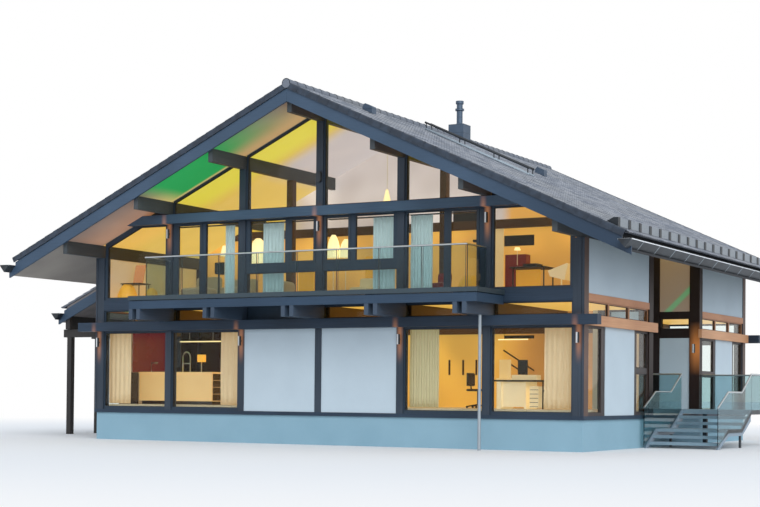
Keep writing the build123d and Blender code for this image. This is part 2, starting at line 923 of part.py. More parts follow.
# Inner beams along the inner walls, and inner posts under the purlins beside the ridge
front_beam_y = (front + front_inner_wall - inner_beam_width, front + front_inner_wall)
back_beam_start = front + back_inner_wall + inner_wall_thickness
back_beam_y = (back_beam_start, back_beam_start + inner_beam_width)
inner_tie = [
    (-tie_low, tie_beam_level),
    (wall_end, tie_beam_level),
    (wall_end, soffit(wall_end)),
    (tie_high, tie_beam_top),
    (-tie_high, tie_beam_top),
]
with BuildPart() as inner_beams:
    for y_range in (front_beam_y, back_beam_y):
        block((left_end, wall_end), y_range, (ground_beam_level, beam_top))
        upright(inner_tie, *y_range)
    for y in (front + inner_post_line, back - inner_post_line):
        for x in (-bay_width, bay_width):
            block(
                (x - post_width / 2, x + post_width / 2),
                (y - post_width / 2, y + post_width / 2),
                (upper_floor_level, soffit(x) - purlin_depth),
            )
write_piece(inner_beams, "inner_beams")

# Inner joists: the ceiling joists of the rooms, in line with those of the balcony
joist_middles = [x + side * (joist_gap + joist_width) / 2 for x in line_xs[1:-1] for side in (-1, 1)]
with BuildPart() as inner_joists:
    for x in joist_middles:
        joist_x = (x - joist_width / 2, x + joist_width / 2)
        block(joist_x, (front + post_depth, front_beam_y[1]), (beam_top, floor_z[0]))
        block(joist_x, (back_beam_y[0], back - post_depth), (beam_top, floor_z[0]))
write_piece(inner_joists, "inner_joists")

# Balcony: paired joists on the front beam, notched at their ends for the fascia
deck_front = front - balcony_projection
joist_top = beam_top + joist_height
fascia_face = deck_front + deck_nosing
fascia_back = fascia_face + fascia_thickness
fascia_z = (joist_top - fascia_groove - fascia_height, joist_top - fascia_groove)
with BuildPart() as balcony_joists:
    joist_outline = [
        (fascia_face, beam_top),
        (front, beam_top),
        (front, joist_top),
        (fascia_back, joist_top),
        (fascia_back, fascia_z[0] - board_joint),
        (fascia_face, fascia_z[0] - board_joint),
    ]
    for x in joist_middles:
        lengthways(joist_outline, x - joist_width / 2, x + joist_width / 2)
write_piece(balcony_joists, "balcony_joists")

outer_plank = line_xs[-2] + joist_gap / 2 + joist_width
deck_x = (-outer_plank - deck_overrun_left, outer_plank + deck_overrun_right)
deck_z = (joist_top, joist_top + deck_thickness)
with BuildPart() as balcony_deck:
    block(deck_x, (deck_front, front), deck_z)
write_piece(balcony_deck, "balcony_deck")

# Fascia: the board across the plank ends, returned along the right-hand side
with BuildPart() as balcony_fascia:
    fascia_right = deck_x[1] - deck_nosing
    block((-outer_plank, fascia_right), (fascia_face, fascia_back), fascia_z)
    block((fascia_right - fascia_thickness, fascia_right), (fascia_back + board_joint, front), fascia_z)
write_piece(balcony_fascia, "balcony_fascia")

# Balcony balustrade: glass sheets under a steel handrail
glass_line_y = front - balcony_projection + balustrade_setback
glass_line_x = line_xs[-2] - balustrade_inset
rail_z = deck_z[1] + balustrade_height
glass_z = (deck_z[1], rail_z - rail_diameter / 2 + rail_slot)
pane_count = 8
pane_pitch = 2 * glass_line_x / pane_count
pane_gap = balustrade_pane_gap
with BuildPart() as balcony_glass:
    half = glass_thickness / 2
    for i in range(pane_count):
        low = -glass_line_x + i * pane_pitch
        block(
            (low + pane_gap, low + pane_pitch - pane_gap),
            (glass_line_y - half, glass_line_y + half),
            glass_z,
        )
    for side in (-1, 1):
        x = side * glass_line_x
        block((x - half, x + half), (glass_line_y + 2 * pane_gap, front - pane_gap), glass_z)
write_piece(balcony_glass, "balcony_glass")

with BuildPart() as balcony_handrail:
    with BuildLine() as rail_path:
        Polyline(
            (-glass_line_x, front, rail_z),
            (-glass_line_x, glass_line_y, rail_z),
            (glass_line_x, glass_line_y, rail_z),
            (glass_line_x, front, rail_z),
        )
    with BuildSketch(Plane(rail_path.line @ 0, z_dir=rail_path.line % 0)):
        Circle(rail_diameter / 2)
    sweep(transition=Transition.RIGHT)
    add(balcony_glass.part, mode=Mode.SUBTRACT)
write_piece(balcony_handrail, "balcony_handrail")

# Entrance stair: two flights of three risers with a landing between them
riser = ground_floor_level / (2 * flight_risers)
flight_run = tread_going * flight_risers
foot_y = front + stair_foot
landing_start = foot_y + flight_run
landing_end = landing_start + landing_length
head_y = landing_end + flight_run
landing_top = riser * flight_risers
platform_y = front + platform_back
platform_z = (ground_floor_level - platform_thickness, ground_floor_level)

with BuildPart() as stair_treads:
    left = stair_left + stringer_thickness
    right = stair_right - stringer_thickness
    for start, base in ((foot_y, 0), (landing_end, landing_top)):
        for k in range(1, flight_risers):
            y = start + k * tread_going
            z = base + k * riser
            block((left, right), (y, y + tread_going + tread_overlap), (z - tread_thickness, z))
    block(
        (left, right),
        (landing_start, landing_end + tread_going + tread_overlap),
        (landing_top - tread_thickness, landing_top),
    )
write_piece(stair_treads, "stair_treads")

# Platform at the head of the stair, running into the recess
with BuildPart() as entrance_platform:
    block((stair_left, stair_right), (head_y, platform_y), platform_z)
    block((recess_wall, stair_left), (head_y, front + recess_back), platform_z)
write_piece(entrance_platform, "entrance_platform")

with BuildPart() as stair_stringers:
    for x in (stair_left, stair_right - stringer_thickness):
        outline = [
            (foot_y, 0),
            (foot_y + stringer_height, 0),
            (landing_start + stringer_height / 2, landing_top - stringer_height),
            (landing_end + stringer_height / 2, landing_top - stringer_height),
            (head_y, ground_floor_level - stringer_height - platform_thickness),
            (head_y, ground_floor_level),
            (landing_end, landing_top),
            (landing_start, landing_top),
        ]
        lengthways(outline, x, x + stringer_thickness)
write_piece(stair_stringers, "stair_stringers")

# Posts under the landing and under the platform
with BuildPart() as stair_posts:
    landing_post_y = (landing_end - platform_post_size, landing_end)
    for x in (stair_left, stair_right - stringer_thickness):
        block((x, x + stringer_thickness), landing_post_y, (0, landing_top - stringer_height))
    platform_post_y = (platform_y - platform_post_size, platform_y)
    for x in (stair_left, stair_right - platform_post_size):
        block((x, x + platform_post_size), platform_post_y, (0, platform_z[0]))
write_piece(stair_posts, "stair_posts")

rail_line = [
    (foot_y, stair_rail_height + riser / 2),
    (landing_start, landing_top + stair_rail_height),
    (landing_end, landing_top + stair_rail_height),
    (head_y, ground_floor_level + stair_rail_height),
]
pane_sink = rail_diameter / 2 - rail_slot
guard_top = ground_floor_level + stair_rail_height

# Glass balustrades of the stair, fixed to the outside of the stringers
with BuildPart() as stair_glass:
    for x in (stair_left - stair_glass_thickness, stair_right):
        top = [(y, z - pane_sink) for y, z in rail_line]
        outline = [
            (foot_y, riser / 2),
            *top,
            (head_y, platform_z[0]),
            (landing_end + tread_overlap, landing_top - stringer_height / 2),
            (landing_start + tread_overlap, landing_top - stringer_height / 2),
        ]
        lengthways(outline, x, x + stair_glass_thickness)
    side_z = (platform_z[0], guard_top - pane_sink)
    block((stair_right, stair_right + stair_glass_thickness), (head_y + pane_gap, platform_y), side_z)
    block((wall_x, stair_right - pane_gap), (platform_y, platform_y + stair_glass_thickness), side_z)
    front_pane = (head_y, head_y + stair_glass_thickness)
    front_z = (ground_floor_level, guard_top - pane_sink)
    block((recess_wall, stair_left - stair_glass_thickness - pane_gap), front_pane, front_z)
write_piece(stair_glass, "stair_glass")

with BuildPart() as stair_handrails:
    left_x = stair_left - stair_glass_thickness / 2
    right_x = stair_right + stair_glass_thickness / 2
    rear_y = platform_y + stair_glass_thickness / 2
    left_points = [(left_x, y, z) for y, z in rail_line]
    left_points.append((recess_wall, head_y + stair_glass_thickness / 2, guard_top))
    right_points = [(right_x, y, z) for y, z in rail_line]
    right_points += [(right_x, rear_y, guard_top), (wall_x, rear_y, guard_top)]
    for points in (left_points, right_points):
        with BuildLine() as rail_path:
            Polyline(*points)
        with BuildSketch(Plane(rail_path.line @ 0, z_dir=rail_path.line % 0)):
            Circle(rail_diameter / 2)
        sweep(transition=Transition.RIGHT)
    add(stair_glass.part, mode=Mode.SUBTRACT)
write_piece(stair_handrails, "stair_handrails")

# Chimney: a sheet-clad block on the ridge with a steel flue
chimney_middle = front + chimney_y
chimney_top = ridge_base + chimney_rise
with BuildPart() as chimney_block:
    half = chimney_size / 2
    foot = [
        (-half, ridge_base - slope * half),
        (0, ridge_base),
        (half, ridge_base - slope * half),
        (half, chimney_top),
        (-half, chimney_top),
    ]
    upright(foot, chimney_middle - half, chimney_middle + half)
    add(ridge_tiles.part, mode=Mode.SUBTRACT)
write_piece(chimney_block, "chimney_block")

# Flue: a turned profile with a collar at its foot, one above the middle, and a cap
with BuildPart() as chimney_flue:
    radius = flue_diameter / 2
    middle = flue_height * 0.6
    neck = flue_height - flue_cap_height
    with BuildSketch(Plane.XZ.offset(-chimney_middle)) as flue_profile:
        with BuildLine():
            Polyline(
                (0, chimney_top),
                (radius + flue_collar_reach, chimney_top),
                (radius, chimney_top + flue_collar_height),
                (radius, chimney_top + middle),
                (radius + flue_collar_reach, chimney_top + middle),
                (radius + flue_collar_reach, chimney_top + middle + flue_collar_height),
                (radius, chimney_top + middle + flue_collar_height),
                (radius, chimney_top + neck),
                (radius + flue_cap_reach, chimney_top + neck),
                (radius + flue_cap_reach, chimney_top + flue_height),
                (0, chimney_top + flue_height),
                close=True,
            )
        make_face()
    revolve(axis=Axis((0, chimney_middle, 0), (0, 0, 1)))
write_piece(chimney_flue, "chimney_flue")

# Snow guards on the right-hand slope: sheet panels between folded brackets
with BuildPart() as snow_guards:
    guard_top = soffit(guard_reach) + tile_surface + guard_height
    guard_count = int((house_depth + 2 * verge_overhang) // guard_pitch)
    guard_start = -guard_pitch * guard_count / 2
    half = guard_thickness / 2
    panel = [
        (guard_reach - half, soffit(guard_reach - half) + tile_surface),
        (guard_reach + half, soffit(guard_reach + half) + tile_surface),
        (guard_reach + half, guard_top),
        (guard_reach - half, guard_top),
    ]
    upright(panel, guard_start, -guard_start)
    foot = guard_reach - guard_bracket_foot
    toe = guard_reach + guard_thickness
    bracket = [
        (foot, soffit(foot) + tile_surface),
        (toe, soffit(toe) + tile_surface),
        (toe, guard_top),
        (guard_reach - guard_bracket_top, guard_top),
    ]
    for k in range(guard_count + 1):
        y = guard_start + guard_pitch * k
        upright(bracket, y - guard_bracket_width / 2, y + guard_bracket_width / 2)
write_piece(snow_guards, "snow_guards")

# Low steel ladder frame down the right-hand slope
with BuildPart() as roof_ladder:
    ladder_end = ladder_x + ladder_run * cos(radians(roof_pitch))
    ladder_front = front + ladder_y
    for low, high in ((0, ladder_bar), (ladder_height - ladder_bar, ladder_height)):
        outline = [
            (ladder_x, soffit(ladder_x) + tile_surface + low),
            (ladder_end, soffit(ladder_end) + tile_surface + low),
            (ladder_end, soffit(ladder_end) + tile_surface + high),
            (ladder_x, soffit(ladder_x) + tile_surface + high),
        ]
        for y in (ladder_front, ladder_front + ladder_width - ladder_bar):
            upright(outline, y, y + ladder_bar)
    rung_count = int(ladder_run // ladder_rung_pitch)
    for k in range(rung_count + 1):
        x = ladder_x + (ladder_end - ladder_x - ladder_bar) * k / rung_count
        surface = soffit(x) + tile_surface
        top = surface + ladder_height - ladder_bar
        for y in (ladder_front, ladder_front + ladder_width - ladder_bar):
            block((x, x + ladder_bar), (y, y + ladder_bar), (surface, top))
        block(
            (x, x + ladder_bar),
            (ladder_front, ladder_front + ladder_width),
            (surface + ladder_bar, surface + 2 * ladder_bar),
        )
write_piece(roof_ladder, "roof_ladder")

# Vent cowls on the right-hand slope
with BuildPart() as roof_vents:
    for x, y in vent_places:
        outline = [
            (x, soffit(x) + tile_surface),
            (x + vent_length, soffit(x + vent_length) + tile_surface),
            (x + vent_length, soffit(x) + tile_surface + vent_height / 3),
            (x + vent_length / 4, soffit(x) + tile_surface + vent_height),
            (x, soffit(x) + tile_surface + vent_height / 2),
        ]
        upright(outline, front + y - vent_width / 2, front + y + vent_width / 2)
write_piece(roof_vents, "roof_vents")

# Lamps on the posts of the front, and one beside the entrance
with BuildPart() as wall_lamps:
    reach = lamp_standoff + lamp_radius
    lamp_places = [(x, front, lamp_level) for x in line_xs[0::2]]
    lamp_places += [(x, front, upper_lamp_level) for x in line_xs[1:-1:2]]
    lamp_places.append((wall_x - side_post_width / 2, front + recess_back, lamp_level))
    for x, face, z in lamp_places:
        with Locations((x, face - reach, z)):
            Cylinder(lamp_radius, lamp_height)
        half = lamp_arm / 2
        block((x - half, x + half), (face - reach, face), (z - half, z + half))
write_piece(wall_lamps, "wall_lamps")

# Speaker on the ridge post
with BuildPart() as wall_speaker:
    with BuildSketch(Plane.XZ.offset(-front)) as speaker_face:
        with Locations((0, speaker_level)):
            SlotOverall(speaker_height, speaker_width, rotation=90)
    extrude(amount=speaker_depth)
write_piece(wall_speaker, "wall_speaker")

# Downpipe under the outer joist at the right-hand end of the balcony
pipe_x = joist_middles[-1]
pipe_y = front - pipe_standoff
with BuildPart() as downpipe:
    with Locations((pipe_x, pipe_y, beam_top / 2)):
        Cylinder(pipe_radius, beam_top)
write_piece(downpipe, "downpipe")
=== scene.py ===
import math

import bmesh
import bpy
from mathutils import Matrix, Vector


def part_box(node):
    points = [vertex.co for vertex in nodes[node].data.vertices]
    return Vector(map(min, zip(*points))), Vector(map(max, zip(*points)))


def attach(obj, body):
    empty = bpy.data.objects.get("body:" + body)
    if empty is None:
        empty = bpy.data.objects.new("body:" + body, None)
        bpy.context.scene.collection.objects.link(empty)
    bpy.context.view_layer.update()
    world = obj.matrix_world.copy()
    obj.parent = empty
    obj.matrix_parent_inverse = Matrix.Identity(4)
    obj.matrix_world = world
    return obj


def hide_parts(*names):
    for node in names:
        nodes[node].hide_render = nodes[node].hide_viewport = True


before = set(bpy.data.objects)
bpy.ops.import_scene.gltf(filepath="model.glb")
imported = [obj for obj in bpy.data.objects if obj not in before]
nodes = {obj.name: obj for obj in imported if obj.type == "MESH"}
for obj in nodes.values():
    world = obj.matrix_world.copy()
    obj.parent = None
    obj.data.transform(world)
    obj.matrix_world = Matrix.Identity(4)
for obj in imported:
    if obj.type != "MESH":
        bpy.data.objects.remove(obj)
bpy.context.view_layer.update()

# Plinth
# A rendered concrete base under the whole house. The render is a fine mineral coat, painted
# blue-grey, with the ground floor slab lying on it.


def colour(hex_code):
    """An sRGB hex value as linear red, green, blue and alpha."""
    values = [int(hex_code[i:i + 2], 16) / 255 for i in (1, 3, 5)]
    linear = [v / 12.92 if v <= 0.04045 else ((v + 0.055) / 1.055) ** 2.4 for v in values]
    return (*linear, 1)


def set_inputs(node, inputs):
    """Link each input that is given a node or a socket, and set the others. A hex value is a colour."""
    for name, value in inputs.items():
        if isinstance(name, int):
            socket = node.inputs[name]
        else:
            socket = next(each for each in node.inputs if each.enabled and each.name == name)
        if isinstance(value, bpy.types.Node):
            value = next(each for each in value.outputs if each.enabled)
        if isinstance(value, bpy.types.NodeSocket):
            node.id_data.links.new(value, socket)
        elif isinstance(value, str) and value.startswith("#"):
            socket.default_value = colour(value)
        else:
            socket.default_value = value


def add(tree, kind, inputs=None, **settings):
    """A node with its settings, its links and the values of its inputs."""
    node = tree.nodes.new(kind)
    for name, value in settings.items():
        setattr(node, name, value)
    set_inputs(node, inputs or {})
    return node


def coated(tree, ground, *coats):
    """A ground colour with other colours laid over it in turn, each by its own share."""
    for share, over in coats:
        ground = add(tree, "ShaderNodeMix", {"Factor": share, "A": ground, "B": over}, data_type="RGBA")
    return ground


def new_finish(name, **constants):
    """A material, its node tree and its shader, with the shader's constants set on its sockets."""
    material = bpy.data.materials.new(name)
    material.use_nodes = True
    shader = material.node_tree.nodes["Principled BSDF"]
    set_inputs(shader, {socket.replace("_", " "): value for socket, value in constants.items()})
    return material, material.node_tree, shader


def dress(material, *names):
    """Give CAD nodes their finish."""
    for name in names:
        data = nodes[name].data
        data.materials.clear()
        data.materials.append(material)


def render_coat(name, hex_light, hex_dark, grain_mm, relief_mm):
    """A float-finished mineral render: matt, fine grained, with faint cloudy patches."""
    material, tree, shader = new_finish(name, Roughness=0.9)
    place = add(tree, "ShaderNodeTexCoord").outputs["Object"]
    grain = add(tree, "ShaderNodeTexNoise", {"Vector": place, "Scale": 1000 / grain_mm, "Detail": 2.0})
    clouds = add(tree, "ShaderNodeTexNoise", {"Vector": place, "Scale": 0.9, "Detail": 3.0})
    share = add(tree, "ShaderNodeMath", {0: clouds, 1: grain}, operation="ADD")
    ramp = add(tree, "ShaderNodeMapRange", {"Value": share, "From Min": 0.6, "From Max": 1.4})
    bump = add(tree, "ShaderNodeBump", {"Height": grain, "Strength": 0.5, "Distance": relief_mm / 1000})
    set_inputs(shader, {"Base Color": coated(tree, hex_dark, (ramp, hex_light)), "Normal": bump})
    return material


# Float-finished plinth render: the eye sees a flat blue-grey band, slightly clouded.
# Its 2 mm grain is drawn at 9 mm, the finest that shows.
plinth_render = render_coat("plinth_render", "#8FB2C2", "#80A3B4", 9, 1.2)
dress(plinth_render, "plinth")

# Timber frame
# Laminated spruce posts, beams and purlins, planed and bolted together. The gable side has a slate-blue
# satin stain. On the long sides the same timber is painted copper brown, as the warm evening light that
# falls on them.

GRAIN_SPACING = 0.014
GRAIN_LENGTH = 0.9


def stained_timber(name, hex_light, hex_dark, grain_axis, roughness=0.5, glow=False, warm_light_from=None,
                   warm_lit_tones=("#A8704E", "#CC946E")):
    """Glued laminated timber under an opaque satin stain, with its grain along one axis.

    The 3 mm grain lines are drawn 14 mm apart, because finer ones don't show. Further than warm_light_from
    from the middle of the house, the colour is the copper brown of the warm light painted on the long sides."""
    material, tree, shader = new_finish(name, Roughness=roughness, Specular_IOR_Level=0.3)
    place = add(tree, "ShaderNodeTexCoord").outputs["Object"]
    stretch = [1 / GRAIN_SPACING] * 3
    stretch["XYZ".index(grain_axis)] = 1 / GRAIN_LENGTH
    lines = add(tree, "ShaderNodeMapping", {"Vector": place, "Scale": stretch})
    grain = add(tree, "ShaderNodeTexNoise", {
        "Vector": lines, "Scale": 1.0, "Detail": 3.0, "Roughness": 0.6})
    patches = add(tree, "ShaderNodeTexNoise", {"Vector": place, "Scale": 0.7, "Detail": 1.0})
    share = add(tree, "ShaderNodeMath", {0: grain, 1: patches}, operation="ADD")
    ramp = add(tree, "ShaderNodeMapRange", {"Value": share, "From Min": 0.65, "From Max": 1.35})
    stain = coated(tree, hex_dark, (ramp, hex_light))
    if warm_light_from:
        x = add(tree, "ShaderNodeSeparateXYZ", {"Vector": place}).outputs["X"]
        out = add(tree, "ShaderNodeMath", {0: x}, operation="ABSOLUTE")
        side = add(tree, "ShaderNodeMath", {0: out, 1: warm_light_from}, operation="GREATER_THAN")
        stain = coated(tree, stain, (side, coated(tree, warm_lit_tones[0], (ramp, warm_lit_tones[1]))))
    bump = add(tree, "ShaderNodeBump", {"Height": grain, "Strength": 0.35, "Distance": 0.0015})
    set_inputs(shader, {"Base Color": stain, "Normal": bump})
    if glow:
        light_from_lamps(tree, place, shader)
    return material


def zone(tree, *edges, full=1.0, curve="SMOOTHSTEP"):
    """A share that is full within soft edges and 0 outside them.

    Each edge is a value, with the place where it is outside and the place where it is within."""
    share = full
    for value, outside, within in edges:
        step = add(tree, "ShaderNodeMapRange", {
            "Value": value, "From Min": outside, "From Max": within}, interpolation_type=curve)
        share = add(tree, "ShaderNodeMath", {0: share, 1: step}, operation="MULTIPLY")
    return share


# The lamps hang on every second post: the first one's place, and the level, of each row.
BAY_WIDTH = 2.5
LOWER_LAMP_LEVEL = 2.81
LAMP_ROWS = ((-7.5, LOWER_LAMP_LEVEL), (-5.0, 5.87))
LAMP_LIGHT = "#C07A3E"
FRONT_FACE = 6.84


def light_from_lamps(tree, place, shader):
    """The warm light that the post lamps throw up and down the front of the frame."""
    x, y, z = add(tree, "ShaderNodeSeparateXYZ", {"Vector": place}).outputs
    pools = []
    for first, level in LAMP_ROWS:
        along = add(tree, "ShaderNodeMath", {0: x, 1: -first}, operation="ADD")
        off = add(tree, "ShaderNodeMath", {0: along, 1: BAY_WIDTH}, operation="PINGPONG")
        rise = add(tree, "ShaderNodeMath", {0: z, 1: level}, operation="SUBTRACT")
        away = add(tree, "ShaderNodeMath", {0: rise}, operation="ABSOLUTE")
        reach = zone(tree, (away, 0.75, 0.1), curve="SMOOTHERSTEP")
        pools.append(zone(tree, (off, 0.12, 0.0), full=reach))
    both = add(tree, "ShaderNodeMath", dict(enumerate(pools)), operation="MAXIMUM")
    share = zone(tree, (y, -6.8, -FRONT_FACE), full=both, curve="LINEAR")
    set_inputs(shader, {
        "Emission Color": coated(tree, "#000000", (share, LAMP_LIGHT)), "Emission Strength": 0.5})


def reopened(material):
    """A finish that gets more coats: its tree, shader and present colour, and places on the house."""
    tree = material.node_tree
    shader = tree.nodes["Principled BSDF"]
    place = add(tree, "ShaderNodeTexCoord").outputs["Object"]
    return tree, shader, shader.inputs["Base Color"].links[0].from_socket, place


# The slate-blue stain, and the copper brown of warm light painted on the long sides: even and satin, with
# the grain just showing through.
side_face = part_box("front_posts")[1][0] - 0.005
slate_upright = stained_timber(
    "slate_timber_upright", "#3B4653", "#2A333E", "Z", glow=True, warm_light_from=side_face,
    warm_lit_tones=("#4C3D38", "#6A5248"))
slate_across = stained_timber(
    "slate_timber_across", "#2F4053", "#202D3C", "X", glow=True, warm_light_from=8.2)
tie_timber = stained_timber("slate_timber_tie", "#445B70", "#34485C", "X", glow=True)
band_timber = stained_timber(
    "slate_bands_warm_lit_ends", "#2F4053", "#202D3C", "X", glow=True, warm_light_from=7.4)
slate_along = stained_timber("slate_timber_along", "#4C5256", "#3A4044", "Y")
# The side beams: the same timber, painted copper brown as warm light.
warm_lit_along = stained_timber("warm_lit_timber_along", "#D9A57C", "#B98560", "Y")
inner_timber = stained_timber("inner_timber", "#6B5238", "#4A3826", "X")

# The side posts, painted dark brown as the warm side light in shade, with the lamp light on the face of the
# one beside the entrance.
ENTRANCE_POST_FACE = 2.15
warm_lit_upright_in_shade = stained_timber("timber_upright_warm_light_in_shade", "#2F1F1A", "#1D1310", "Z")
tree, shader, _, place = reopened(warm_lit_upright_in_shade)
x, y, z = add(tree, "ShaderNodeSeparateXYZ", {"Vector": place}).outputs
rise = add(tree, "ShaderNodeMath", {0: z, 1: LOWER_LAMP_LEVEL}, operation="SUBTRACT")
away = add(tree, "ShaderNodeMath", {0: rise}, operation="ABSOLUTE")
behind = add(tree, "ShaderNodeMath", {0: y, 1: ENTRANCE_POST_FACE}, operation="SUBTRACT")
off = add(tree, "ShaderNodeMath", {0: behind}, operation="ABSOLUTE")
share = zone(tree, (away, 0.8, 0.1), (off, 0.02, 0.01), (x, 7.3, 7.5), curve="LINEAR")
set_inputs(shader, {
    "Emission Color": coated(tree, "#000000", (share, LAMP_LIGHT)), "Emission Strength": 0.7})

dress(slate_upright, "front_posts", "rear_posts")
dress(slate_across, "gable_beams", "base_board")
dress(tie_timber, "tie_beams")
dress(band_timber, "floor_bands")
dress(slate_along, "purlins")
dress(warm_lit_upright_in_shade, "side_posts", "recess_beams")
dress(warm_lit_along, "side_beams")
dress(inner_timber, "inner_beams", "inner_joists")

# Roof slabs
# Insulated roof panels over the purlins. Their underside is pale painted board, both the eaves outside and
# the ceilings inside, where the yellow and green wash of hidden strips of lights is painted on it.

# Painted roof boards: matt and pale, with hairline joints every 600 mm. The light on them is laid over as a
# glow that keeps its place on the roof. Their colour also holds painted light: green in the gable eaves, and
# painted shade that darkens them beyond 9 m out.
BOARD_WIDTH = 0.6
roof_boards, tree, shader = new_finish("painted_roof_boards", Roughness=0.85, Emission_Strength=0.75)
place = add(tree, "ShaderNodeTexCoord").outputs["Object"]
x, y = add(tree, "ShaderNodeSeparateXYZ", {"Vector": place}).outputs[:2]
out = add(tree, "ShaderNodeMath", {0: x}, operation="ABSOLUTE")
depth = add(tree, "ShaderNodeMath", {0: y}, operation="ABSOLUTE")
joint = add(tree, "ShaderNodeMath", {0: y, 1: BOARD_WIDTH / 2}, operation="PINGPONG")
cloud = add(tree, "ShaderNodeTexNoise", {"Vector": place, "Scale": 0.6, "Detail": 2.0})
normal = add(tree, "ShaderNodeNewGeometry").outputs["Normal"]
facing = add(tree, "ShaderNodeSeparateXYZ", {"Vector": normal}).outputs["Z"]
indoors = zone(tree, (depth, 6.83, 6.80), (out, 7.5, 7.4))
gable_eaves = zone(tree, (depth, FRONT_FACE, 6.86), (facing, -0.4, -0.6), (out, 7.6, 7.3))
second_bay = zone(tree, (x, -5.1, -4.9), (x, -2.4, -2.6))
third_bay = zone(tree, (x, -2.6, -2.4), (x, 0.1, -0.1))
green = add(tree, "ShaderNodeMath", {
    0: zone(tree, (x, -5.1, -4.3), (depth, FRONT_FACE, 7.0), full=second_bay),
    1: zone(tree, (x, 0.1, -3.1), (depth, 6.9, 7.9), full=third_bay)}, operation="MAXIMUM")
green_eaves = add(tree, "ShaderNodeMath", {0: green, 1: gable_eaves}, operation="MULTIPLY")
board_paint_and_painted_light = coated(
    tree, "#918B85",
    (zone(tree, (cloud, 0.3, 0.7)), "#A39C94"),
    (zone(tree, (joint, 0.004, 0.0)), "#8C857C"),
    (green_eaves, "#2A7F4C"),
    (zone(tree, (x, 8.9, 9.1)), "#2B2D31"))
ceiling_light = coated(
    tree, "#FFC656",
    (zone(tree, (x, -6.2, -4.4)), "#F4E244"),
    (zone(tree, (x, 1.5, 4.5)), "#F5B850"),
    (zone(tree, (depth, 5.9, 4.9)), "#F2C85C"),
    (zone(tree, (depth, 5.4, 4.4), (x, -3.4, -2.2), (x, 4.2, 3.0)), "#D3C7C8"))
by_the_glass = coated(tree, "#A06C48", (second_bay, "#D6BC60"), (third_bay, "#BE9450"))
eaves_light = coated(tree, "#5A3E30", (zone(tree, (depth, 8.5, 6.9)), by_the_glass), (green, "#1F9A4C"))
glow = coated(tree, "#000000", (gable_eaves, eaves_light), (indoors, ceiling_light))
set_inputs(shader, {"Base Color": board_paint_and_painted_light, "Emission Color": glow})
dress(roof_boards, "roof_left", "roof_right")


def mottled(name, hex_dark, hex_light, scale, detail=2.0, patchy=False, **constants):
    """A plain finish in two tones of one colour, in soft clouds or in clearer patches."""
    material, tree, shader = new_finish(name, **constants)
    place = add(tree, "ShaderNodeTexCoord").outputs["Object"]
    share = add(tree, "ShaderNodeTexNoise", {"Vector": place, "Scale": scale, "Detail": detail})
    if patchy:
        share = zone(tree, (share, 0.3, 0.7))
    set_inputs(shader, {"Base Color": coated(tree, hex_dark, (share, hex_light))})
    return material


# The same painted boards under the porch, matt, and darkened by painted deep shade.
porch_boards = mottled(
    "dark_porch_boards", "#6E6A6B", "#85807F", 1.3, detail=3.0, patchy=True, Roughness=0.8)
dress(porch_boards, "porch_roof")

# Roof tiles
# Interlocking concrete tiles with two low rolls each, laid in straight courses on battens. Each
# laps over the one below, and no two have quite the same grey.

ROOF_PITCH = math.radians(24.55)
SOFFIT_RIDGE = 9.03
SLAB_HEIGHT = 0.37
RIDGE_LEVEL = SOFFIT_RIDGE + SLAB_HEIGHT
TILE_COVER = 0.302
TILE_THICKNESS = 0.018
TILE_BED = 0.030
BED_PLAY = 0.002
TILE_LAP = 0.060
TILE_RISE = 0.020
ROLL_HEIGHT = 0.021
EAVES_OUT = 9.3
COURSE_COUNT = 30
COURSE_GAUGE = EAVES_OUT / math.cos(ROOF_PITCH) / COURSE_COUNT
TONE_SEED = 7


def mesh_object(name, verts, faces, material=None, smooth_shaded=False):
    """An object at the origin with this mesh."""
    mesh = bpy.data.meshes.new(name)
    mesh.from_pydata([tuple(v) for v in verts], [], faces)
    mesh.update()
    if smooth_shaded:
        mesh.polygons.foreach_set("use_smooth", [True] * len(mesh.polygons))
    piece = bpy.data.objects.new(name, mesh)
    bpy.context.scene.collection.objects.link(piece)
    if material:
        mesh.materials.append(material)
    return piece


def tile_height(across):
    """The two rolls of a tile, from its left edge to its right."""
    wave = 0.5 + 0.5 * math.cos(4 * math.pi * across / TILE_COVER)
    return ROLL_HEIGHT * wave ** 1.6


def one_tile(gauge):
    """A tile lying with its head at the origin and its foot down the slope."""
    steps = 10
    length = gauge + TILE_LAP
    verts = []
    for along, lift in ((0.0, 0.0), (length, TILE_RISE)):
        for side in (0, -TILE_THICKNESS):
            for k in range(steps + 1):
                across = TILE_COVER * k / steps
                verts.append((along, across, TILE_BED + lift + side + tile_height(across)))
    row = steps + 1
    head_top, head_low, foot_top, foot_low = 0, row, 2 * row, 3 * row
    faces = []
    for k in range(steps):
        faces.append((head_top + k, foot_top + k, foot_top + k + 1, head_top + k + 1))
        faces.append((head_low + k, head_low + k + 1, foot_low + k + 1, foot_low + k))
        faces.append((foot_top + k, foot_low + k, foot_low + k + 1, foot_top + k + 1))
        faces.append((head_top + k, head_top + k + 1, head_low + k + 1, head_low + k))
    faces.append((head_top, head_low, foot_low, foot_top))
    faces.append((head_top + steps, foot_top + steps, foot_low + steps, head_low + steps))
    return mesh_object("one_tile", verts, faces)


